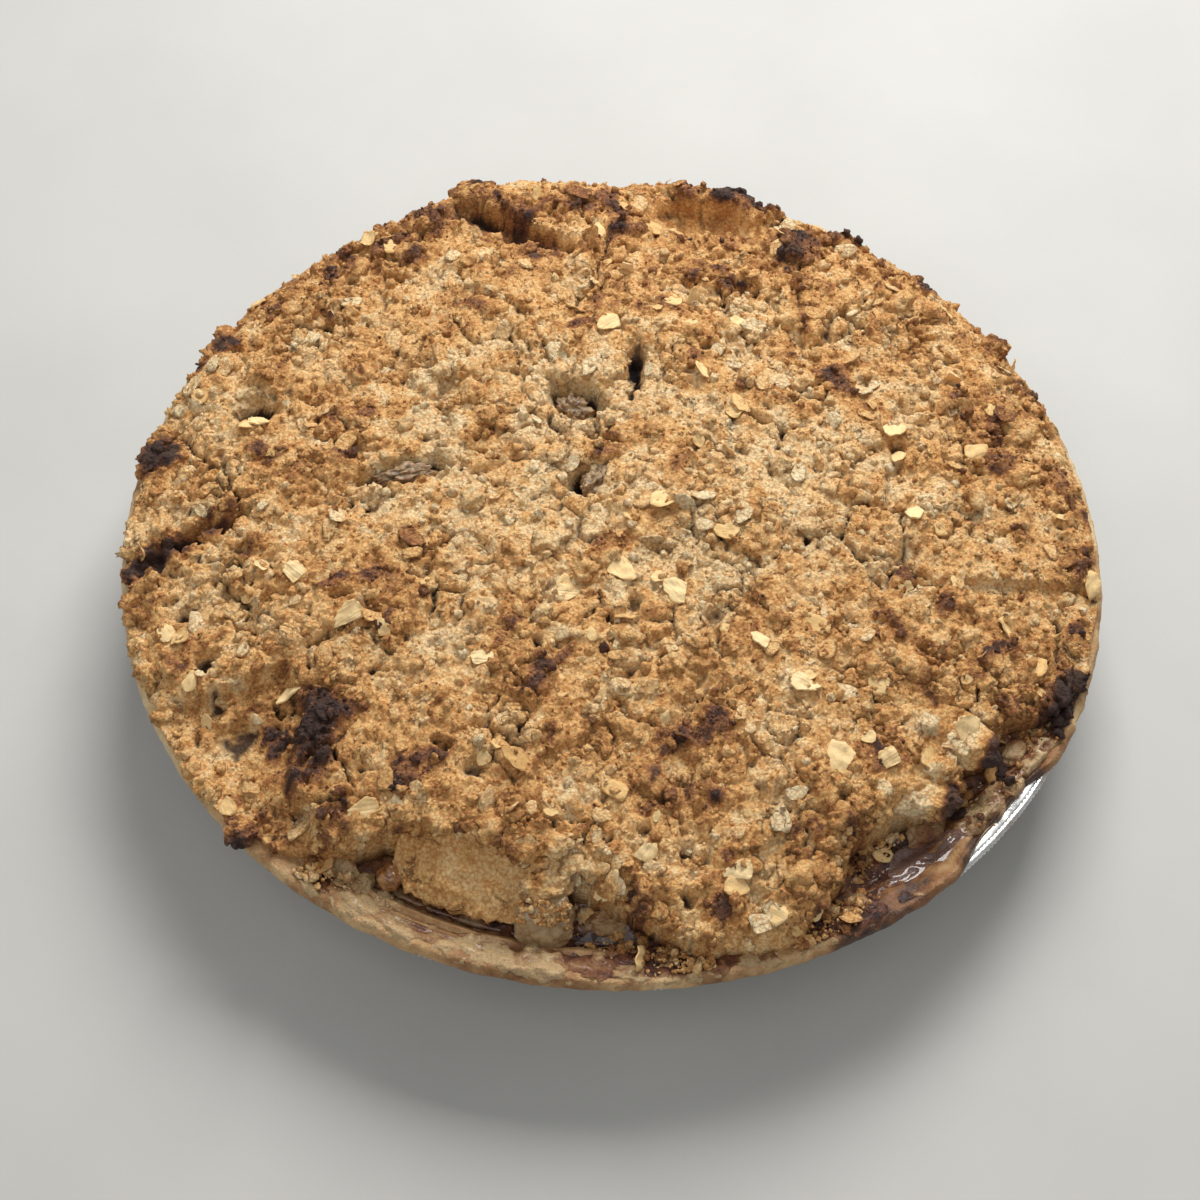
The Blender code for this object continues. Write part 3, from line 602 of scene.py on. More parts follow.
drawn_in = 0.62 * shrunk * np.maximum(0, radius - 109.2)
nibbled = 0.5 + 0.9 * clouds(x, y, 3.2, 33) + 0.5 * clouds(x, y, 1.3, 34)
drawn_in += (1 - shrunk) * smooth_step(112, 115, radius) * nibbled
heights = np.maximum(sheet_top - JUICE_THICKNESS * (z < 0.5), lowest)
for vertex, height, pull in zip(sheet.verts, heights, drawn_in):
    vertex.co.z = height
    if pull:
        move_out(vertex, -pull)
rise = along(JUICE_PALENESS, direction) - 0.1 + 0.22 * swell + 0.35 * clouds(x, y, 8, 5)
rise += 0.25 * smooth_step(-3, 0.5, radius - edge) - 0.2 * in_pool + 0.34 * cream
rise += 0.2 * smooth_step(108, 111, radius) * (1 - smooth_step(286, 292, direction))
juicy = band(direction, 263, 268, 279, 286) * (1 - smooth_step(101, 106, radius))
wet = 0.16 + 0.4 * clouds(x, y, 3.5, 12) + 0.9 * smooth_step(0.4, 0.75, in_pool) + 0.6 * juicy
wet += 0.2 * smooth_step(296, 302, direction) - 0.3 * smooth_step(110.5, 113, radius)
by_pool = band(direction, 295, 299, 312, 316) * smooth_step(104, 107, radius)
# At the left, under the slab, the sheet's inner part is darkened as painted shade of the recess.
rise += 0.2 * smooth_step(112.6, 114.2, radius) - 0.22 * (1 - smooth_step(100, 106, radius)) * (direction < 264)
rise += by_pool * (0.5 * clouds(x, y, 2.2, 35) - 0.12)
wet -= 0.3 * by_pool * (1 - smooth_step(0.4, 0.75, in_pool))
values = {"rise": rise, "wet": wet}
add_piece("baked_on_juice", sheet, stewed_look("baked_on_juice"), "apple_filling", values)


# Crumble topping: oat and butter crumble baked to one craggy crown, heaped in the middle and
# broken away at the front. Its relief is drawn once as a map of heights, then four quarters
# take their tops from it, so that each quarter carries grains of half a millimetre.
CROWN_EDGE_HEIGHT = 34.2
CROWN_RISE = 17.4
CROWN_RADIUS = 114.0
CROWN_POWER = 0.8
CRUMBLE_FOOT = 32.1
EDGE_ROUNDING = 7.0
EVEN_RADIUS = 110.0
SWELL_SIZE = 38.0
SWELL_HEIGHT = 1.8
STEP_WIDTH = 3.0
MAP_REACH = 118.0
MAP_STEP = 0.4
QUARTER_CELLS = 245
NOISE_SEED = 5
CRUMBLE_EDGE = (
    (0, 113.4), (40, 113.0), (100, 113.6), (180, 113.4), (205, 114.0), (226, 114.0), (233, 110.0),
    (238, 103.0), (241, 96.5), (246, 94.0), (253, 93.4), (259, 93.4), (268.5, 94.5), (275, 100.5),
    (281, 109.5), (286, 111.0), (292, 112.0),
    (297, 106.0), (301, 103.0), (305, 96.5), (311, 97.0), (316, 101.5), (320, 101.5),
    (322.5, 97.0), (326, 101.5), (329, 101.0), (332, 100.5), (336, 109.0), (341, 113.0),
    (360, 113.4),
)
HEAP_STEPS = (
    (((206, 130.0), (212, 86.0), (220, 88.0), (227, 102.0), (238, 107.0), (244, 130.0)), 4.5),
    (((318, 130.0), (324, 104.0), (331, 99.0), (341, 89.0), (350, 83.0), (358, 130.0)), 2.6),
)
# Swellings of the crown: the middle, half length, half width, turn and rise.
SWELLINGS = (
    (-33.0, 105.0, 20.0, 9.0, 16, 6.0), (22.0, 108.0, 15.0, 6.0, -12, 4.0),
    (-48.0, -74.0, 20.0, 12.0, -35, 2.4), (40.0, -78.0, 26.0, 12.0, 25, 2.6),
)
# Holes and cracks: the middle, half length, half width, turn and depth.
PITS = (
    (-10.0, 28.4, 6.9, 5.2, -20, 11.0), (-6.8, 5.0, 3.6, 5.6, -25, 9.5), (-49.0, 5.6, 10.8, 2.8, 14, 8.0),
    (3.2, 38.0, 1.9, 9.0, -4, 8.5), (-86.0, 27.3, 4.8, 3.4, 0, 9.5), (-81.7, -60.5, 5.0, 4.2, 30, 6.4),
    (-104.0, -13.5, 8.0, 3.0, 38, 5.0), (-94.5, -6.8, 8.5, 2.6, 20, 6.0), (66.0, 20.0, 2.4, 2.0, 0, 4.0),
    (-90.0, -43.0, 2.6, 2.2, 0, 5.0), (-96.0, -30.0, 2.4, 2.0, 0, 5.0), (-87.0, -52.0, 2.2, 3.0, 0, 5.0),
    (-28.5, 90.0, 19.0, 4.2, -27, 7.0), (20.0, 96.5, 15.0, 6.2, -6, 7.5),
)
# The hollow under the slab: the middle, half sizes and turn.
SLAB_HOLLOW = ((-34.0, -97.0, 27.0), (19.0, 6.5, 4.6), -14)
# Places where the crumble is smoother dough: x, y, half length, half width, turn, share.
DOUGHY = (
    (-31.0, -85.0, 17.0, 6.0, -20, 0.5), (-33.0, 106.0, 16.0, 8.0, 12, 0.5), (20.0, 97.0, 15.0, 6.5, -6, 0.85),
    (34.0, 10.0, 9.0, 6.0, 20, 0.5), (-20.7, 18.6, 6.0, 4.0, 0, 0.5), (72.0, -64.0, 9.0, 5.0, -42, 0.6),
)
# Places baked darker, or paler where the amount is below 0, two with painted shade: x, y, half length, half
# width, turn, amount.
BAKED_AND_SHADED_SPOTS = (
    (-62.6, -61.0, 7.0, 11.5, -4, 0.8), (-105.0, -13.5, 8.5, 4.2, 38, 0.85), (-94.5, -6.8, 9.5, 3.4, 20, 0.8),
    (-108.5, 17.5, 5.0, 6.0, 0, 0.75), (79.0, -69.0, 4.2, 4.2, 0, 0.75), (87.4, -55.8, 4.0, 4.4, 0, 0.75),
    (-77.8, -86.0, 6.0, 5.0, 0, 0.55), (104.8, -38.9, 7.0, 5.0, 70, 0.5), (-30.7, 18.5, 5.5, 4.5, 0, 0.3),
    (34.3, 10.3, 8.0, 5.0, 15, -0.28), (-20.7, 18.6, 5.0, 4.0, 0, -0.28), (12.0, 5.0, 52.0, 34.0, 10, -0.06),
    (52.0, -80.5, 7.0, 6.0, 30, 0.3), (-52.0, -20.0, 9.0, 6.0, 20, 0.25), (20.0, 97.0, 14.0, 6.0, -6, 0.12),
    # The next two darken the crevice under the back-left bulge as painted shade, and the lip behind the back
    # hollow partly as painted shade and partly as browner crumbs.
    (-28.5, 91.0, 18.0, 5.0, -27, 0.24), (29.0, 106.0, 12.0, 3.5, -12, 0.4),
)


def blurred(values, reach):
    """The map with each value averaged over a square that reaches that many steps."""
    for axis in (0, 1):
        padded = np.concatenate([np.zeros_like(np.take(values, [0], axis)), np.cumsum(values, axis)], axis)
        size = values.shape[axis]
        low = np.maximum(np.arange(size) - reach, 0)
        high = np.minimum(np.arange(size) + reach + 1, size)
        shape = [-1 if axis == side else 1 for side in (0, 1)]
        values = (np.take(padded, high, axis) - np.take(padded, low, axis)) / (high - low).reshape(shape)
    return values


def crown_height(x, y):
    """The heaped crown with its steps and swellings, before its relief."""
    radius, direction = np.hypot(x, y), direction_of(x, y)
    height = CROWN_EDGE_HEIGHT + CROWN_RISE * np.maximum(0, 1 - (radius / CROWN_RADIUS) ** 2) ** CROWN_POWER
    for step, drop in HEAP_STEPS:
        inside = (direction > step[0][0]) & (direction < step[-1][0])
        edge = np.where(inside, along(step, direction), 2 * TIN_RADIUS)
        height = height - drop * smooth_step(0, STEP_WIDTH, radius - edge + STEP_WIDTH)
    for *place, rise in SWELLINGS:
        height = height + rise * np.exp(-in_ellipse(x, y, *place))
    return height + SWELL_HEIGHT * clouds(x, y, SWELL_SIZE, 3.0 / SWELL_SIZE)


edge_directions = np.linspace(0, 360, 1441)


def noise_round(size, key):
    """Random values at the edge directions: the noise round a circle of that radius."""
    turns = [math.radians(direction) for direction in edge_directions]
    return np.array([noise.noise((size * math.cos(turn), size * math.sin(turn), key)) for turn in turns])


edge_wander = 0.8 * noise_round(9, 0) + 0.9 * noise_round(34, 5)


def crumble_edge(direction):
    """How far out the crumble reaches in each direction."""
    return along(CRUMBLE_EDGE, direction) + np.interp(direction, edge_directions, edge_wander)


axis = np.arange(-MAP_REACH, MAP_REACH + MAP_STEP, MAP_STEP)
map_x, map_y = np.meshgrid(axis, axis)


def map_clouds(size, key):
    """Smooth random values all over the map."""
    return clouds(map_x, map_y, size, key)


warp_x = map_x + 2.4 * map_clouds(8, 1) + 0.8 * map_clouds(2.5, 2)
warp_y = map_y + 2.4 * map_clouds(8, 11) + 0.8 * map_clouds(2.5, 12)
slab_dome, slab_border, slab_luck = lumps(warp_x, warp_y, 13, 3)
clump_dome, clump_border, clump_luck = lumps(warp_x, warp_y, 6, 4)
crumb_dome, _, crumb_luck = lumps(warp_x, warp_y, 2.7, 5)
grain_dome, _, grain_luck = lumps(warp_x, warp_y, 1.25, 6)
smoothness = np.zeros_like(map_x)
for *place, share in DOUGHY:
    smoothness = np.maximum(smoothness, share * np.exp(-in_ellipse(map_x, map_y, *place) ** 2))
rough = (1 - smoothness) * (1 - 0.45 * smooth_step(-0.05, 0.3, map_clouds(17, 41)))
cracked = smooth_step(-0.05, 0.3, map_clouds(24, 7))
chipped = smooth_step(-0.1, 0.3, map_clouds(15, 9))
loose = 0.65 + 0.5 * smooth_step(55, 100, np.hypot(map_x, map_y)) + 0.6 * map_clouds(28, 8)
loose += 0.25 * smooth_step(50, 85, map_y)
relief = rough * loose * (
    1.5 * (slab_luck - 0.5) + 0.9 * (slab_dome - 0.8) + 1.4 * (clump_luck - 0.5) + 1.3 * (clump_dome - 0.8)
)
for size, height, key in ((5.5, 0.7, 31), (2.6, 0.6, 32), (1.3, 0.6, 33)):
    relief += rough * height * map_clouds(size, key)
wide_gap = (clump_luck < 0.13) * smooth_step(0.86, 0.97, clump_dome)
wide_gap = wide_gap * smooth_step(-0.1, 0.25, map_clouds(16, 43))
narrow_gap = (clump_luck > 0.93) * smooth_step(0.93, 0.99, clump_dome)
relief -= 3.0 * rough * np.clip(wide_gap + narrow_gap, 0, 1)
relief = 0.3 * relief + 0.7 * blurred(relief, 1)
relief -= 2.4 * cracked * rough * (1 - smooth_step(0.01, 0.11, slab_border))
relief -= 1.8 * chipped * rough * (1 - smooth_step(0.01, 0.15, clump_border))
relief += rough * loose * (0.8 * (crumb_luck - 0.5) + 0.9 * (crumb_dome - 0.8))
relief += (0.5 + 0.5 * rough) * (0.5 * (grain_luck - 0.5) + 0.65 * (grain_dome - 0.8))
ragged_x = 1.6 * map_clouds(3.6, 21) + 0.6 * map_clouds(1.4, 22)
ragged_y = 1.6 * map_clouds(3.6, 26) + 0.6 * map_clouds(1.4, 27)
# The deepest holes are marked here to be painted near black, as painted shade.
hole_shade_map = np.zeros_like(map_x)
for *place, depth in PITS:
    raggedness = 0.3 if place[1] > 80 else 1.0
    inside = in_ellipse(map_x + raggedness * ragged_x, map_y + raggedness * ragged_y, *place)
    relief -= depth * blurred(np.sqrt(np.clip(1.1 - inside, 0, 1)), 2)
    if depth >= 7.5 and place[1] < 80:
        hole_shade_map = np.maximum(hole_shade_map, smooth_step(0.9, 0.1, inside))
height_map = crown_height(map_x, map_y) + relief
# Painted shade: the crumble is darkened where its relief sinks below the relief around it, and most in the
# deepest holes.
painted_shade_map = np.clip((blurred(relief, 3) - relief - 0.1) / 1.3, 0, 1)
painted_shade_map = np.maximum(painted_shade_map, np.clip((blurred(relief, 12) - relief - 1.0) / 2.6, 0, 1))
painted_shade_map = painted_shade_map + hole_shade_map
# The toast map: how brown the crumble baked, with painted shade from two of the spots at the back; it is darker
# towards the back and the outer ring and paler in the middle.
toast_and_shade_map = 0.35 + 0.18 * (slab_luck - 0.5)
toast_and_shade_map += 0.3 * (clump_luck * 7 % 1 - 0.5) + 0.26 * (crumb_luck * 5 % 1 - 0.5)
toast_and_shade_map += 0.13 * smooth_step(40, 80, map_y) * (1 + 1.2 * map_clouds(14, 45))
toast_and_shade_map += 0.15 * smooth_step(40, 85, np.hypot(map_x, map_y - 10.0)) - 0.11
toast_and_shade_map += 0.14 * map_clouds(27, 13) + 0.04 * np.clip(relief, -2, 2)
brown_tops = smooth_step(0.1, 0.4, map_clouds(9.5, 15)) * smooth_step(-0.9, 0.4, relief)
toast_and_shade_map += 0.34 * brown_tops - 0.16 * smooth_step(0.2, 0.5, map_clouds(12, 17))
ragged = 1 + 0.7 * map_clouds(5, 23) + 0.4 * map_clouds(2, 24)
for *place, amount in BAKED_AND_SHADED_SPOTS:
    from_spot = np.maximum(ragged * in_ellipse(map_x, map_y, *place), 0)
    toast_and_shade_map += 0.9 * amount * np.exp(-from_spot ** 1.5)
rim_char = smooth_step(106, 112, np.hypot(map_x, map_y)) * smooth_step(0.1, 0.4, map_clouds(7, 25))
toast_and_shade_map += 0.3 * rim_char * (1 - band(direction_of(map_x, map_y), 150, 170, 320, 335))
toast_and_shade_map = np.maximum(toast_and_shade_map, 0.1)
damp_map = smooth_step(0.12, 0.4, map_clouds(13, 19)) * (0.15 + 0.6 * painted_shade_map)
for *place, depth in PITS[:5]:
    damp_map = np.maximum(damp_map, 0.4 * np.exp(-in_ellipse(map_x, map_y, *place) / 1.8))


def read(values, x, y):
    """A map's values at the places, straight between its points."""
    column = np.clip((np.asarray(x) + MAP_REACH) / MAP_STEP, 0, len(axis) - 1.001)
    row = np.clip((np.asarray(y) + MAP_REACH) / MAP_STEP, 0, len(axis) - 1.001)
    left, low = column.astype(int), row.astype(int)
    a, b = column - left, row - low
    bottom = values[low, left] * (1 - a) + values[low, left + 1] * a
    return bottom * (1 - b) + (values[low + 1, left] * (1 - a) + values[low + 1, left + 1] * a) * b


def crumble_height(x, y):
    """The crumble's top with its relief, rounded down to its rim."""
    inward = np.clip((np.hypot(x, y) - crumble_edge(direction_of(x, y))) / EDGE_ROUNDING + 1, 0, 1)
    height = np.maximum(read(height_map, x, y), CRUMBLE_FOOT)
    return CRUMBLE_FOOT + (height - CRUMBLE_FOOT) * np.sqrt(1 - inward ** 2)


def crumble_values(x, y):
    """What the baked look reads at the places."""
    return {"toast": read(toast_and_shade_map, x, y), "deep": read(painted_shade_map, x, y), "damp": read(damp_map, x, y)}


def under_crumble(x, y):
    """The underside: down in the filling, and raised over the hollow at the front."""
    (centre_x, centre_y, centre_z), (half_length, half_width, half_height), turn = SLAB_HOLLOW
    outward = in_ellipse(x, y, centre_x, centre_y, half_length * 1.1, half_width * 1.3, turn)
    roof = centre_z + half_height * np.sqrt(np.clip(1.25 - outward, 0, 1))
    return np.maximum(filling_height(x, y) - 1.5, roof)


def disc_place(u, v):
    """Maps the square -1 to 1 onto the unit disc, keeping its cells about alike."""
    wide = np.abs(u) > np.abs(v)
    safe_u, safe_v = np.where(u == 0, 1e-9, u), np.where(v == 0, 1e-9, v)
    reach = np.where(wide, u, v)
    angle = np.where(wide, math.pi / 4 * v / safe_u, math.pi / 2 - math.pi / 4 * u / safe_v)
    return reach * np.cos(angle), reach * np.sin(angle)


def wandered(tree, place, size, detail, reach):
    """The place moved about at random, in swings of that size and that many millimetres far."""
    swing = tree.nodes.new("ShaderNodeTexNoise")
    swing.inputs["Scale"].default_value = 1 / (size * MM)
    swing.inputs["Detail"].default_value = detail
    feed(tree, swing.inputs["Vector"], place)
    moved = tree.nodes.new("ShaderNodeVectorMath")
    moved.operation = "MULTIPLY_ADD"
    feed(tree, moved.inputs[0], swing.outputs["Color"])
    moved.inputs[1].default_value = (reach * MM, reach * MM, reach * MM)
    feed(tree, moved.inputs[2], place)
    return moved.outputs[0]


def baked_look(name):
    """Dry oat crumble, pale cream to brown by how it baked, greyish where damp, with painted shade in its
    crevices, cracks and holes and between its grains.
    """
    look, tree, surface = new_look(name, 0.75)
    place, deep = place_of(tree), carried(tree, "deep")
    grain = grains(tree, wandered(tree, place, 1.3, 2.0, 1.1), 0.85)
    fine = speckle(tree, place, 0.6, 4, 0.7)
    patch = maths(tree, "MULTIPLY_ADD", speckle(tree, place, 2.6, 3, 0.6), 0.4, -0.2)
    bake = maths(tree, "ADD", patch, carried(tree, "toast"))
    bake = maths(tree, "ADD", bake, maths(tree, "MULTIPLY_ADD", fine, 0.54, -0.27))
    colour = shades(
        tree, bake, (0.0, paint(255, 234, 188)), (0.2, paint(254, 215, 154)), (0.4, paint(245, 194, 124)),
        (0.58, paint(212, 156, 90)), (0.74, paint(164, 110, 64)), (0.88, paint(112, 72, 48)),
        (1.0, paint(68, 45, 37)),
    )
    grey = mixed(tree, spread(tree, fine, 0.35, 0.65), paint(182, 142, 94), paint(216, 178, 124))
    colour = mixed(tree, maths(tree, "MULTIPLY", carried(tree, "damp"), 0.4), colour, grey)
    # Painted shade between the grains: each grain darkens away from its middle.
    between = spread(tree, grain, 0.4, 0.74, 0.0, 0.62)
    colour = mixed(tree, between, colour, paint(206, 162, 114), "MULTIPLY")
    # Painted shade: darker in the crevices, near black in the deepest holes.
    shade = maths(tree, "MULTIPLY", spread(tree, deep, 0.08, 0.8), 0.95)
    colour = mixed(tree, shade, colour, paint(50, 28, 12))
    colour = mixed(tree, spread(tree, deep, 1.1, 1.8), colour, paint(18, 11, 8))
    # Painted shade in fine cracks: dark lines along the edges of wandering cells, also cut in by the relief
    # below.
    splits = tree.nodes.new("ShaderNodeTexVoronoi")
    splits.feature = "DISTANCE_TO_EDGE"
    splits.inputs["Scale"].default_value = 1 / (7.0 * MM)
    feed(tree, splits.inputs["Vector"], wandered(tree, place, 3.4, 3.0, 6))
    split = maths(
        tree, "MULTIPLY", spread(tree, splits.outputs["Distance"], 0.01, 0.05, 1.0, 0.0),
        spread(tree, speckle(tree, place, 6, 3), 0.56, 0.64),
    )
    colour = mixed(tree, maths(tree, "MULTIPLY", split, 0.6), colour, paint(78, 45, 22))
    feed(tree, surface.inputs["Base Color"], colour)
    feed(tree, surface.inputs["Roughness"], spread(tree, fine, 0.3, 0.7, 0.62, 0.88))
    pebbly = raised(tree, surface, maths(tree, "SUBTRACT", 1.0, grain), 0.45, 0.9)
    cut = raised(tree, surface, maths(tree, "SUBTRACT", 1.0, split), 0.4, 0.9, pebbly)
    raised(tree, surface, fine, 0.74, 1.0, cut)
    return look


baked_crumble = baked_look("baked_crumble")
UNDERSIDE_RINGS = (0.006, 0.014, 0.024, 0.036, 0.05, 0.066, 0.085, 0.11, 0.15, 0.3)
noise.seed_set(NOISE_SEED)
for name, side_x, side_y in (
    ("front_left", -1, -1), ("front_right", 1, -1), ("back_left", -1, 1), ("back_right", 1, 1),
):
    quarter = bmesh.new()
    bmesh.ops.create_grid(quarter, x_segments=QUARTER_CELLS, y_segments=QUARTER_CELLS, size=0.5)
    bmesh.ops.translate(quarter, vec=(side_x * 0.5, side_y * 0.5, 0), verts=quarter.verts)
    u, v, _ = points_of(quarter)
    u, v = disc_place(np.clip(np.round(u, 6), -1, 1), np.clip(np.round(v, 6), -1, 1))
    reach = np.hypot(u, v)
    scale = EVEN_RADIUS + (crumble_edge(direction_of(u, v)) - EVEN_RADIUS) * smooth_step(0.7, 1.0, reach)
    x, y = u * scale, v * scale
    height = crumble_height(x, y)
    drop = np.hypot(crumble_height(x + 0.8, y) - height, crumble_height(x, y + 0.8) - height)
    push = 0.3 + 0.25 * smooth_step(0.7, 2.0, drop)
    for vertex, place, amount in zip(quarter.verts, zip(x, y, height), push.tolist()):
        place = Vector(place)
        vertex.co = place + amount * (noise.noise_vector(place / 1.7) + 0.6 * noise.noise_vector(place / 0.9))
    middle = Vector((side_x * 50.0, side_y * 50.0, 0.0))
    border = [edge for edge in quarter.edges if edge.is_boundary]
    for share in (0.0,) + UNDERSIDE_RINGS:
        made = bmesh.ops.extrude_edge_only(quarter, edges=border)["geom"]
        ring = [part for part in made if isinstance(part, bmesh.types.BMVert)]
        border = [part for part in made if isinstance(part, bmesh.types.BMEdge)]
        here = np.array([vertex.co for vertex in ring])
        x, y = here[:, 0] + (middle.x - here[:, 0]) * share, here[:, 1] + (middle.y - here[:, 1]) * share
        low = under_crumble(x, y) if share < UNDERSIDE_RINGS[-1] else np.full(len(x), 24.5)
        for vertex, place in zip(ring, zip(x, y, np.minimum(low, here[:, 2] if share else here[:, 2] - 0.3))):
            vertex.co = place
    bmesh.ops.holes_fill(quarter, edges=border)
    x, y, _ = points_of(quarter)
    values = crumble_values(x, y)
    add_piece(f"crumble_{name}", quarter, baked_crumble, "crumble_topping", values)


# Slab of crumble: at the left of the broken front one plate of smooth, sandy crumble still
# hangs over the hollow, golden above, its lower edge serrated. It is a ball pressed flat.
SLAB_PLACE = (-28.4, -91.6, 33.6)
SLAB_HALF_SIZES = (16.6, 8.6, 2.2)
SLAB_TURN = -17.4
SLAB_TILT = 38.0

slab = bmesh.new()
bmesh.ops.create_icosphere(slab, subdivisions=6, radius=1.0)
for vertex in slab.verts:
    x, y, z = (math.copysign(abs(value) ** power, value) for value, power in zip(vertex.co, (0.72, 0.62, 0.4)))
    vertex.co = Vector((x, y, z))
bmesh.ops.scale(slab, vec=SLAB_HALF_SIZES, verts=slab.verts)
for vertex in slab.verts:
    x, y, z = vertex.co
    serrated = 1.6 * noise.noise((x / 4, 0, 2)) + 1.3 * noise.noise((x / 1.6, z / 3, 5)) - 0.5 * (x / 18) ** 2
    vertex.co.y -= serrated * max(0.0, -y / 8)
    vertex.co.z += 1.5 * noise.noise((x / 7, y / 7, 1)) + 0.9 * noise.noise((x / 2.6, y / 2.6, 3))
    vertex.co += 0.4 * noise.noise_vector(vertex.co / 1.1)
bmesh.ops.transform(slab, matrix=laid(SLAB_PLACE, SLAB_TURN, SLAB_TILT), verts=slab.verts)
x, y, z = points_of(slab)
# The slab darkens towards its lower edge as painted shade.
values = {
    "toast": 0.36 - 0.006 * (x + 30) + 0.3 * clouds(x, y, 6, 3) + 0.12 * clouds(x, y, 1.5, 4),
    "deep": 0.3 * smooth_step(30, 28, z), "damp": 0.3 * smooth_step(-28, -16, x) + 0.2 * smooth_step(32, 28, z),
}
add_piece("crumble_slab", slab, baked_crumble, "crumble_topping", values)


# Rough clumps: bigger lumps of crumble that stand out of the crown and hang over its edges.
# Each is one ball pushed in and out by noise, half sunk in what it is baked to.
# The clumps on the edges: the middle, half sizes and turn.
EDGE_CLUMPS = (
    (-78.0, -84.0, 33.0, 3.4, 3.0, 2.6, 0), (-110.6, -8.0, 33.6, 3.0, 4.6, 2.6, 10),
    (-39.0, 103.0, 38.2, 6.2, 3.6, 3.0, 12), (13.0, 108.0, 37.0, 3.0, 2.8, 2.8, 0),
    (27.0, 106.5, 36.8, 4.8, 3.0, 2.8, -10), (92.0, 62.0, 34.9, 3.6, 3.4, 2.8, 0),
    (-11.4, -95.2, 37.0, 5.6, 3.4, 3.0, 8),
)
# Tongues of smoother dough at the right, burnt black at their tips: the middle, half sizes, turn.
TONGUES = ((68.5, -68.6, 36.2, 9.8, 5.0, 3.2, -12), (79.0, -54.6, 37.6, 8.8, 5.4, 3.4, -24))
STANDING_CLUMPS = 230
EDGE_ROW_CLUMPS = 150
RIM_ROW_CLUMPS = 50
CLUMP_HALF_SIZE = (1.3, 3.9)
CLUMP_SEED = 11


def broken_directions(count, rng):
    """Directions along the broken edges at the front."""
    return np.where(rng.random(count) < 0.55, rng.uniform(234, 283, count), rng.uniform(292, 344, count))


def kept_bare(x, y):
    """Whether the places lie in a pit or on the smooth dough, where nothing loose lies."""
    in_pit = [in_ellipse(x, y, *place) < 1.3 for *place, depth in PITS]
    on_dough = [in_ellipse(x, y, *place) < 0.8 for *place, share in DOUGHY if share > 0.8]
    at_slab = in_ellipse(x, y, -31.0, -95.5, 23.0, 9.5, -17) < 1
    on_tongue = [in_ellipse(x, y, *tongue[:2], *tongue[3:5], tongue[6]) < 1 for tongue in TONGUES]
    in_pool = in_ellipse(x, y, *POOL) < 1
    return np.any(in_pit + on_dough + on_tongue + [at_slab, in_pool], axis=0)


rng = np.random.default_rng(CLUMP_SEED)
standing_reach = 108 * np.sqrt(rng.random(STANDING_CLUMPS))
standing = rng.uniform(0, 360, STANDING_CLUMPS)
broken = broken_directions(EDGE_ROW_CLUMPS, rng)
broken_reach = crumble_edge(broken) - rng.uniform(0.5, 5.0, EDGE_ROW_CLUMPS)
at_rim = rng.uniform(150, 231, RIM_ROW_CLUMPS)
rim_reach = rng.uniform(111.8, 112.8, RIM_ROW_CLUMPS)
reach = np.concatenate((standing_reach, broken_reach, rim_reach))
direction = np.radians(np.concatenate((standing, broken, at_rim)))
clump_x, clump_y = reach * np.cos(direction), reach * np.sin(direction)
clear = np.hypot(clump_x, clump_y) < crumble_edge(direction_of(clump_x, clump_y))
clear &= ~kept_bare(clump_x, clump_y)
clumps = []
for index, (x, y) in enumerate(zip(clump_x[clear], clump_y[clear])):
    size = CLUMP_HALF_SIZE[0] + (CLUMP_HALF_SIZE[1] - CLUMP_HALF_SIZE[0]) * rng.random() ** 1.6
    size = min(size, max(1.2, 0.8 * (116 - math.hypot(x, y))))
    half_sizes = (size, size * rng.uniform(0.65, 1.0), size * rng.uniform(0.5, 0.8))
    place = Vector((x, y, float(crumble_height(x, y)) - 0.15 * half_sizes[2]))
    turn, tilt = rng.uniform(0, 360), rng.uniform(-20, 20)
    clumps.append(pressed_ball(place, half_sizes, turn, tilt, 0.6, 3, index * 1.7))
for index, (x, y, z, *half_sizes, turn) in enumerate(EDGE_CLUMPS):
    clumps.append(pressed_ball(Vector((x, y, z)), half_sizes, turn, 0, 0.35, 5, index))
for index, (x, y, z, *half_sizes, turn) in enumerate(TONGUES):
    clumps.append(pressed_ball(Vector((x, y, z)), half_sizes, turn, 0, 0.22, 5, index * 2.3, 0.8))
clumps = joined(clumps)
for vertex in clumps.verts:
    vertex.co += 0.55 * noise.noise_vector(vertex.co / 1.9) + 0.25 * noise.noise_vector(vertex.co / 0.8)
x, y, z = points_of(clumps)
values = crumble_values(x, y)
# The clumps stand above the crevices and carry less of the painted shade.
values["deep"] *= 0.35
values["toast"] += 0.06
for x_middle, y_middle, _, half_length, half_width, _, turn in TONGUES:
    dx, dy, angle = x - x_middle, y - y_middle, math.radians(turn)
    outward = (dx * math.cos(angle) + dy * math.sin(angle)) / half_length + 0.12 * clouds(x, y, 2.5, 8)
    near = in_ellipse(x, y, x_middle, y_middle, 1.3 * half_length, 1.3 * half_width, turn) < 1
    burnt = 0.04 + 0.4 * smooth_step(0.15, 0.6, outward) + 0.55 * smooth_step(0.5, 0.74, outward)
    burnt += 0.1 * clouds(x, y, 3, 3)
    values["toast"] = np.where(near, burnt, values["toast"])
    values["deep"] = np.where(near, 0, values["deep"])
add_piece("crumble_clumps", clumps, baked_crumble, "crumble_topping", values)


# Crumbs and grains: loose bits of the baked crumble, from sago to sand in size, caught all
# over the crown and strewn on the filling and rim. A few patterns are copied many times.
CRUMBS = 1600
GRAINS = 9800
CRUMB_HALF_SIZE = (0.6, 1.7)
GRAIN_HALF_SIZE = (0.22, 0.62)
PATTERNS = 9


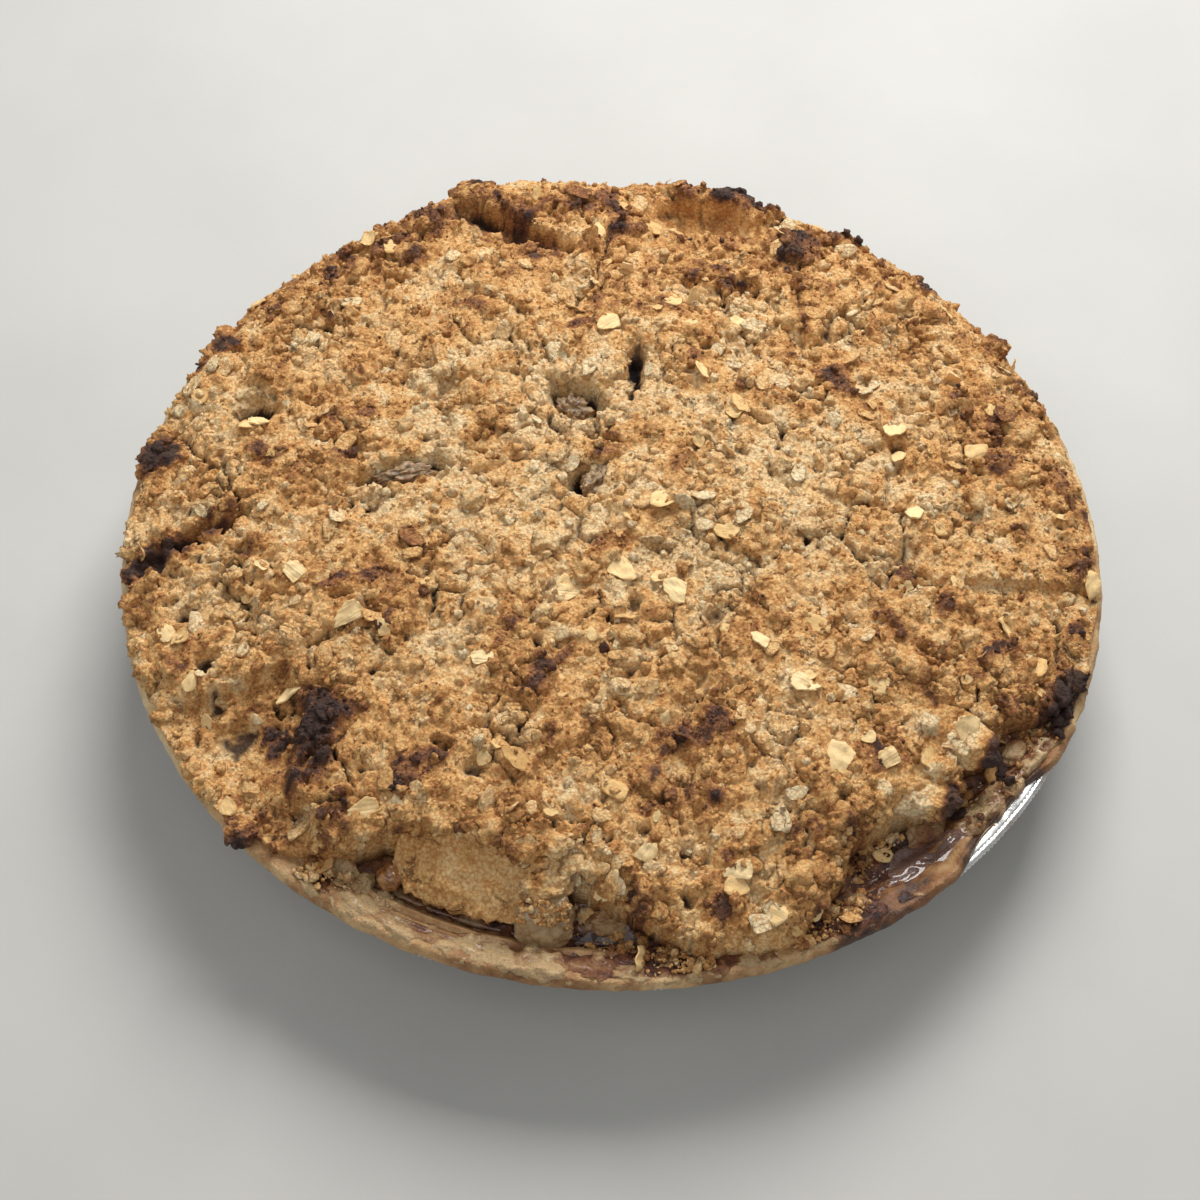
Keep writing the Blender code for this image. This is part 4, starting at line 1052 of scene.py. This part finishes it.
def as_arrays(shape):
    """A bmesh's points and triangles as arrays, and frees it."""
    bmesh.ops.triangulate(shape, faces=shape.faces)
    shape.verts.index_update()
    points = np.array([vertex.co for vertex in shape.verts])
    triangles = np.array([[vertex.index for vertex in face.verts] for face in shape.faces])
    shape.free()
    return points, triangles


def crumb_pattern(key, finer, roughness):
    """One crumb of half size 1, angular and uneven."""
    shape = bmesh.new()
    bmesh.ops.create_icosphere(shape, subdivisions=finer, radius=1.0)
    for vertex in shape.verts:
        vertex.co *= 1 + roughness * noise.noise(vertex.co * 1.8 + Vector((key, 0, 7)))
        vertex.co += 0.3 * roughness * noise.noise_vector(vertex.co * 4 + Vector((0, key, 0)))
    return as_arrays(shape)


def any_turns(count, rng):
    """Random turns as 3 x 3 arrays."""
    a, b, c, d = rng.normal(size=(4, count))
    length = np.sqrt(a * a + b * b + c * c + d * d)
    a, b, c, d = a / length, b / length, c / length, d / length
    rows = (
        (1 - 2 * (c * c + d * d), 2 * (b * c - a * d), 2 * (b * d + a * c)),
        (2 * (b * c + a * d), 1 - 2 * (b * b + d * d), 2 * (c * d - a * b)),
        (2 * (b * d - a * c), 2 * (c * d + a * b), 1 - 2 * (b * b + c * c)),
    )
    return np.moveaxis(np.array(rows), 2, 0)


def strewn(name, patterns, places, turns, sizes, rng):
    """One mesh of a copy of some pattern at each place, which copy each point belongs to, and
    where each point lies on its pattern."""
    points, triangles, owners, on_pattern = [], [], [], []
    chosen = rng.integers(0, len(patterns), len(places))
    start = 0
    for index, (shape_points, shape_triangles) in enumerate(patterns):
        here = np.flatnonzero(chosen == index)
        if not len(here):
            continue
        scaled = shape_points[None] * sizes[here][:, None]
        moved = np.einsum("kij,knj->kni", turns[here], scaled) + places[here][:, None]
        starts = start + np.arange(len(here)) * len(shape_points)
        points.append(moved.reshape(-1, 3))
        triangles.append((shape_triangles[None] + starts[:, None, None]).reshape(-1, 3))
        owners.append(np.repeat(here, len(shape_points)))
        on_pattern.append(np.tile(shape_points, (len(here), 1)))
        start += len(here) * len(shape_points)
    points, triangles = np.concatenate(points), np.concatenate(triangles)
    mesh = bpy.data.meshes.new(name)
    mesh.vertices.add(len(points))
    mesh.vertices.foreach_set("co", points.astype(np.float32).ravel())
    mesh.loops.add(3 * len(triangles))
    mesh.loops.foreach_set("vertex_index", triangles.astype(np.int32).ravel())
    mesh.polygons.add(len(triangles))
    mesh.polygons.foreach_set("loop_start", np.arange(0, 3 * len(triangles), 3, dtype=np.int32))
    mesh.update(calc_edges=True)
    return mesh, np.concatenate(owners), np.concatenate(on_pattern)


def ground(x, y):
    """The highest of crumble, filling and pastry at the places."""
    radius, direction = np.hypot(x, y), direction_of(x, y)
    on_crumble = radius < crumble_edge(direction) - 0.4
    rim = np.interp(radius, (103.5, 105.7, 108.6, 111.6, 114.0), (25.5, 28.4, 30.7, 31.6, 30.1))
    bare = np.where(radius < 103, filling_height(x, y) + 0.3, rim)
    return np.where(on_crumble, crumble_height(x, y), bare)


def spread_places(count, rng, loose_share, side=0):
    """Places all over the crumble, and a share along its broken edges and in front of them, of
    which a side, -1 or 1, keeps the left or right half."""
    loose = int(count * loose_share)
    reach = 113 * np.sqrt(rng.random(count - loose))
    direction = rng.uniform(0, 360, count - loose)
    limit = crumble_edge(direction) - 0.2
    reach = np.where(reach > limit, limit - rng.exponential(3.0, len(limit)), reach)
    loose_direction = broken_directions(loose, rng)
    loose_reach = crumble_edge(loose_direction) + np.clip(rng.normal(1.4, 3.6, loose), -3, 11)
    loose_reach = np.minimum(loose_reach, 112.5)
    reach, direction = np.append(reach, loose_reach), np.radians(np.append(direction, loose_direction))
    x, y = reach * np.cos(direction), reach * np.sin(direction)
    free = ~kept_bare(x, y) & (side * x >= 0)
    return x[free], y[free]


for name, count, half_size, finer, roughness, key in (
    ("crumbs_left", CRUMBS, CRUMB_HALF_SIZE, 2, 0.75, 1),
    ("crumbs_right", CRUMBS, CRUMB_HALF_SIZE, 2, 0.75, 2),
    ("grains_left", GRAINS, GRAIN_HALF_SIZE, 1, 0.5, 3),
    ("grains_right", GRAINS, GRAIN_HALF_SIZE, 1, 0.5, 4),
):
    rng = np.random.default_rng(100 + key)
    x, y = spread_places(2 * count, rng, 0.2, 1 if name.endswith("right") else -1)
    count = len(x)
    size = rng.uniform(0, 1, count) ** 1.8 * (half_size[1] - half_size[0]) + half_size[0]
    sizes = size[:, None] * rng.uniform(0.6, 1.0, (count, 3))
    z = ground(x, y) + size * rng.uniform(-0.25, 0.4, count)
    patterns = [crumb_pattern(key * 10 + index, finer, roughness) for index in range(PATTERNS)]
    places = np.stack((x, y, z), 1)
    mesh, owner, _ = strewn(f"crumble_{name}", patterns, places, any_turns(count, rng), sizes, rng)
    values = {what: numbers[owner] for what, numbers in crumble_values(x, y).items()}
    # The loose bits carry less of the painted shade.
    values["deep"] = 0.45 * values["deep"]
    values["toast"] = values["toast"] + rng.normal(0, 0.12, count)[owner]
    values["damp"] = 0.5 * values["damp"]
    add_mesh(mesh, baked_crumble, "crumble_topping", values)


# Oat flakes: rolled oats, thin ovals with a worn rim and a slight curl, pale cream where they
# stayed on top and golden where they baked in. Each is a ball rolled flat and laid on the crown.
# The boldest flakes of the photograph: the place, length and turn.
BOLD_FLAKES = (
    (14.6, -27.3, 8.0, 60), (2.1, -22.1, 8.2, 50), (-58.2, -35.4, 8.4, 35), (-71.9, -22.8, 7.2, 10),
    (28.0, 56.3, 8.8, 35), (-51.1, -82.0, 8.2, 10), (43.1, -48.3, 7.4, 75), (9.5, -89.8, 6.6, 50),
    (2.1, -95.7, 8.2, 85), (80.0, -54.3, 9.0, 70), (33.4, -38.5, 6.6, 20), (64.3, 25.4, 8.4, 80),
    (-85.0, 22.2, 7.6, 110), (51.3, -65.7, 8.6, 35), (-9.8, -27.1, 6.4, 120), (-70.3, -50.8, 7.8, 150),
    (69.3, 1.0, 6.8, 70), (-28.0, -46.0, 6.2, 15), (62.0, -64.0, 6.4, 15), (29.5, -92.8, 7.0, 24),
)
PALE_FLAKES = 100
BAKED_FLAKES = 260
FLAKE_LENGTH = (3.0, 7.8)
FLAKE_PATTERNS = 8


def flake_pattern(key, finer):
    """A rolled oat of half length 1 along X: a thin uneven plate, bent, with chipped sides."""
    shape = bmesh.new()
    bmesh.ops.create_icosphere(shape, subdivisions=finer, radius=1.0)
    rng = np.random.default_rng(key)
    chips = [(angle, rng.uniform(0.55, 0.85)) for angle in rng.uniform(0, 2 * math.pi, 3)]
    for vertex in shape.verts:
        x, y, z = vertex.co
        outline = 1 + 0.25 * noise.noise((x * 1.3 + key, y * 1.3, 0))
        outline += 0.16 * noise.noise((x * 4, y * 4 + key, 3))
        x, y = x * outline, 0.72 * y * outline
        for angle, limit in chips:
            cosine, sine = math.cos(angle), math.sin(angle)
            over = max(0.0, x * cosine + y * sine - limit * (1 - 0.28 * sine ** 2))
            x, y = x - over * cosine, y - over * sine
        bend = (0.1 * x * x + 0.14 * y * y) * (-1) ** key + 0.16 * noise.noise((x * 2 + key, y * 2, 9))
        rib = 0.014 * math.cos(y * 24 + 3 * noise.noise((x, y * 3, key))) * (z > 0)
        vertex.co = (x, y, 0.06 * math.copysign(abs(z) ** 0.3, z) - bend - rib)
    return as_arrays(shape)


def laid_turns(x, y, turn, lean, rng):
    """Turns that lay a flat piece on the crumble's slope, turned and leaned by those degrees."""
    step = 1.6
    slope_x = (crumble_height(x + step, y) - crumble_height(x - step, y)) / (2 * step)
    slope_y = (crumble_height(x, y + step) - crumble_height(x, y - step)) / (2 * step)
    made = []
    for sx, sy, spin, tip in zip(np.clip(slope_x, -0.7, 0.7), np.clip(slope_y, -0.7, 0.7), turn, lean):
        up = Vector((-sx, -sy, 1)).normalized().to_track_quat("Z", "Y").to_matrix()
        axis = rng.uniform(0, 2 * math.pi)
        tipped = Matrix.Rotation(math.radians(tip), 3, Vector((math.cos(axis), math.sin(axis), 0)))
        made.append(np.array(up @ tipped @ Matrix.Rotation(math.radians(spin), 3, "Z")))
    return np.array(made)


oat_flake, tree, surface = new_look("oat_flake", 0.7, Subsurface_Weight=0.1, Subsurface_Scale=0.001)
across = tree.nodes.new("ShaderNodeCombineXYZ")
feed(tree, across.inputs["X"], carried(tree, "line"))
streak = tree.nodes.new("ShaderNodeTexNoise")
streak.inputs["Scale"].default_value = 5.0
streak.inputs["Detail"].default_value = 3.0
feed(tree, streak.inputs["Vector"], across.outputs["Vector"])
fine = speckle(tree, place_of(tree), 0.8, 3, 0.6)
bake = maths(tree, "ADD", carried(tree, "toast"), spread(tree, carried(tree, "edge"), 0.75, 1.05, 0.0, 0.16))
bake = maths(tree, "ADD", bake, spread(tree, streak.outputs["Fac"], 0.3, 0.7, -0.1, 0.12))
bake = maths(tree, "ADD", bake, spread(tree, fine, 0.3, 0.7, -0.08, 0.08))
flake_colour = shades(
    tree, bake, (0.0, paint(244, 216, 164)), (0.3, paint(234, 198, 138)), (0.55, paint(212, 168, 104)),
    (0.78, paint(168, 118, 66)), (1.0, paint(100, 64, 38)),
)
feed(tree, surface.inputs["Base Color"], flake_colour)
feed(tree, surface.inputs["Roughness"], spread(tree, fine, 0.3, 0.7, 0.62, 0.82))
ribbed = raised(tree, surface, streak.outputs["Fac"], 0.3, 0.9)
raised(tree, surface, fine, 0.22, 0.8, ribbed)
for name, finer, seed in (("oat_flakes_bold", 4, 5), ("oat_flakes_pale", 3, 6), ("oat_flakes_baked_in", 2, 7)):
    rng = np.random.default_rng(seed)
    bold, pale = finer == 4, finer > 2
    if bold:
        x, y, length, turn = np.array(BOLD_FLAKES).T
        lean, lift, toasting = rng.uniform(-9, 9, len(x)), 0.3, rng.normal(0.16, 0.08, len(x))
    else:
        x, y = spread_places(PALE_FLAKES if pale else BAKED_FLAKES, rng, 0.12)
        length, turn = rng.uniform(*FLAKE_LENGTH, len(x)), rng.uniform(0, 360, len(x))
        lean = np.where(rng.random(len(x)) < 0.75, rng.uniform(-22, 22, len(x)), rng.uniform(35, 80, len(x)))
        lift = rng.uniform(-0.4, 0.3, len(x))
        toasting = rng.choice((0.24, 0.42), len(x)) if pale else read(toast_and_shade_map, x, y) - 0.16
        toasting = toasting + rng.normal(0, 0.06, len(x)) + 0.5 * np.maximum(read(toast_and_shade_map, x, y) - 0.62, 0)
    sizes = np.stack((length / 2, length / 2 * rng.uniform(0.85, 1.1, len(x)), length / 2), 1)
    if not bold:
        rng.random(len(x))  # Draws that no flake uses, kept so that those after them stay the same.
    around = [ground(x + a * length, y + b * length) for a, b in ((0.25, 0), (-0.25, 0), (0, 0.25), (0, -0.25))]
    high = 0.5 * ground(x, y) + 0.5 * np.minimum(np.max(around, axis=0), ground(x, y) + 1.5)
    places = np.stack((x, y, high + lift + 0.06 * length), 1)
    patterns = [flake_pattern(seed * 10 + index, finer) for index in range(FLAKE_PATTERNS)]
    mesh, owner, on_flake = strewn(name, patterns, places, laid_turns(x, y, turn, lean, rng), sizes, rng)
    values = {"toast": toasting[owner], "line": on_flake[:, 1] * 1.6 + owner * 3.1}
    values["edge"] = np.hypot(on_flake[:, 0], on_flake[:, 1] / 0.66)
    values["deep"] = values["damp"] = np.zeros(len(owner))
    add_mesh(mesh, oat_flake if pale else baked_crumble, "crumble_topping", values)


# Bits of apple at the bottom of three holes: soft, greyish cream and moist, each a small
# rounded lump wedged in the crumble.
APPLE_BITS = (
    ("apple_bit_back", (-10.6, 28.0, 45.6), (4.0, 2.8, 2.2), -20),
    ("apple_bit_middle", (-5.2, 5.2, 47.4), (2.9, 4.2, 2.4), -25),
    ("apple_bit_crack", (-49.0, 5.4, 46.8), (6.6, 2.2, 1.9), 14),
)

look, tree, surface = new_look(
    "pale_apple", 0.5, Subsurface_Weight=0.3, Subsurface_Scale=0.002, Coat_Weight=0.1, Coat_Roughness=0.25,
)
place = place_of(tree)
flesh = speckle(tree, place, 1.8, 4, 0.6)
# Its darker tones are partly painted shade of the holes the bits lie in.
pale = shades(tree, flesh, (0.25, paint(84, 64, 44)), (0.5, paint(134, 108, 76)), (0.75, paint(196, 170, 126)))
feed(tree, surface.inputs["Base Color"], pale)
feed(tree, surface.inputs["Roughness"], spread(tree, flesh, 0.3, 0.7, 0.4, 0.6))
raised(tree, surface, speckle(tree, place, 1.1, 3), 0.5, 0.9)
for name, place, half_sizes, turn in APPLE_BITS:
    bit = pressed_ball(Vector(place), half_sizes, turn, 0, 0.5, 5, half_sizes[0], 0.8)
    for vertex in bit.verts:
        vertex.co += 0.5 * noise.noise_vector(vertex.co / 1.3)
    add_piece(f"{name}_flesh", bit, look, name)


# Apple chunk: a soft cube of apple that has slid out at the front, its lower corner rounded
# and translucent, with crumbs of the topping stuck to its back.
CHUNK_PLACE = (-11.2, -100.8, 31.0)
CHUNK_HALF_SIZES = (6.4, 3.0, 6.2)
CHUNK_TILT = -30
CHUNK_CRUMBS = 170
CHUNK_SEED = 31

look, tree, surface = new_look(
    "baked_apple", 0.3, Subsurface_Weight=0.35, Subsurface_Scale=0.003, Subsurface_Radius=(1.0, 0.7, 0.4),
    Coat_Weight=0.4, Coat_Roughness=0.18,
)
place = place_of(tree)
flesh = speckle(tree, place, 2.2, 4, 0.6, 0.4)
tan = shades(tree, flesh, (0.25, paint(118, 88, 58)), (0.45, paint(158, 130, 94)), (0.75, paint(192, 170, 130)))
feed(tree, surface.inputs["Base Color"], tan)
feed(tree, surface.inputs["Roughness"], spread(tree, flesh, 0.3, 0.7, 0.2, 0.42))
raised(tree, surface, speckle(tree, place, 1.0, 3), 0.35, 0.7)
chunk = bmesh.new()
bmesh.ops.create_icosphere(chunk, subdivisions=5, radius=1.0)
for vertex in chunk.verts:
    vertex.co = [math.copysign(abs(value) ** power, value) for value, power in zip(vertex.co, (0.7, 0.8, 0.75))]
    vertex.co *= 1 + 0.16 * noise.noise(vertex.co * 1.7) + 0.06 * noise.noise(vertex.co * 5)
bmesh.ops.scale(chunk, vec=CHUNK_HALF_SIZES, verts=chunk.verts)
leaned = laid(CHUNK_PLACE, 0, CHUNK_TILT)
bmesh.ops.transform(chunk, matrix=leaned, verts=chunk.verts)
add_piece("apple_chunk_flesh", chunk, look, "apple_chunk_front")
rng = np.random.default_rng(CHUNK_SEED)
across, up = rng.uniform(-0.85, 0.8, CHUNK_CRUMBS), 0.95 - 0.85 * rng.random(CHUNK_CRUMBS)
up = np.minimum(up - 0.15 * across, 0.95)
front = -np.sqrt(np.clip(1 - 0.5 * across ** 2 - 0.7 * up ** 2, 0.05, 1)) * 0.96
places = np.stack((across, front, up), 1) * CHUNK_HALF_SIZES
places = places @ np.array(leaned.to_3x3()).T + np.array(CHUNK_PLACE)
size = 0.3 + 0.8 * rng.random(CHUNK_CRUMBS) ** 2
patterns = [crumb_pattern(70 + index, 2, 0.8) for index in range(PATTERNS)]
sizes = size[:, None] * rng.uniform(0.6, 1.0, (CHUNK_CRUMBS, 3))
mesh, owner, _ = strewn("apple_chunk_crumbs", patterns, places, any_turns(CHUNK_CRUMBS, rng), sizes, rng)
values = {"toast": rng.normal(0.4, 0.12, CHUNK_CRUMBS)[owner], "deep": 0 * owner, "damp": 0 * owner}
add_mesh(mesh, baked_crumble, "apple_chunk_front", values)


# Caramel bead: a drop of juice boiled out and set to a clear amber lump beside the slices.
BEAD_PLACE = (-45.0, -91.0, 29.8)
BEAD_HALF_SIZES = (3.2, 3.0, 2.9)

look, tree, surface = new_look(
    "set_caramel", 0.12, Subsurface_Weight=0.3, Subsurface_Scale=0.002, Subsurface_Radius=(1.0, 0.5, 0.2),
    Coat_Weight=0.8, Coat_Roughness=0.05,
)
place = place_of(tree)
cloud = speckle(tree, place, 2.5, 3, 0.5, 0.5)
amber = shades(tree, cloud, (0.25, paint(92, 56, 28)), (0.5, paint(136, 88, 46)), (0.75, paint(190, 146, 94)))
feed(tree, surface.inputs["Base Color"], amber)
feed(tree, surface.inputs["Roughness"], spread(tree, cloud, 0.3, 0.7, 0.08, 0.2))
raised(tree, surface, speckle(tree, place, 1.4, 2), 0.3, 0.5)
bead = pressed_ball(Vector(BEAD_PLACE), BEAD_HALF_SIZES, 20, 0, 0.14, 5, 1)
add_piece("caramel_bead_drop", bead, look, "caramel_bead")


# Floor, light and camera: a plain pale table, soft studio light from above and behind, and
# the camera where the photograph's was, tipped down 55 degrees and rolled a little.
CAMERA_PLACE = (-2.575, -371.54, 537.667)
CAMERA_ELEVATION = 54.967
CAMERA_ROLL = 2.543
CAMERA_LENS = 80.117

floor_shape = bmesh.new()
bmesh.ops.create_grid(floor_shape, x_segments=8, y_segments=8, size=3.0)
floor_mesh = bpy.data.meshes.new("table")
floor_shape.to_mesh(floor_mesh)
floor_shape.free()
floor = bpy.data.objects.new("table", floor_mesh)
bpy.context.scene.collection.objects.link(floor)
look, tree, surface = new_look("table_top", 0.6)
grain = speckle(tree, place_of(tree), 60, 3)
table_paint = shades(tree, grain, (0.3, paint(182, 181, 177)), (0.7, paint(188, 187, 183)))
feed(tree, surface.inputs["Base Color"], table_paint)
floor_mesh.materials.append(look)


def soft_light(name, place, size, power, colour):
    """A square lamp that faces the pie."""
    lamp = bpy.data.lights.new(name, "AREA")
    lamp.size = size
    lamp.energy = power
    lamp.color = colour
    light = bpy.data.objects.new(name, lamp)
    light.location = place
    light.rotation_euler = (Vector((0, 0, 0.03)) - Vector(place)).to_track_quat("-Z", "Y").to_euler()
    bpy.context.scene.collection.objects.link(light)


soft_light("window", (0.12, 0.62, 0.72), 0.55, 11.2, (1.0, 0.985, 0.96))
soft_light("reflector", (-0.2, -0.5, 0.8), 0.7, 1.8, (1.0, 0.99, 0.97))
world = bpy.data.worlds.new("studio")
bpy.context.scene.world = world
world.use_nodes = True
world.node_tree.nodes["Background"].inputs["Color"].default_value = (0.95, 0.97, 1.0, 1.0)
world.node_tree.nodes["Background"].inputs["Strength"].default_value = 0.33
bpy.context.scene.view_settings.view_transform = "Standard"

lens = bpy.data.cameras.new("photo_camera")
lens.lens = CAMERA_LENS
lens.sensor_width = 36.0
camera = bpy.data.objects.new("photo_camera", lens)
bpy.context.scene.collection.objects.link(camera)
down = math.radians(CAMERA_ELEVATION)
roll = math.radians(CAMERA_ROLL)
level_up = Vector((0, math.sin(down), math.cos(down)))
level_right = Vector((1, 0, 0))
right = level_right * math.cos(roll) + level_up * math.sin(roll)
up = level_up * math.cos(roll) - level_right * math.sin(roll)
facing = Matrix((right, up, right.cross(up))).transposed().to_4x4()
camera.matrix_world = Matrix.Translation(Vector(CAMERA_PLACE) * MM) @ facing
bpy.context.scene.camera = camera
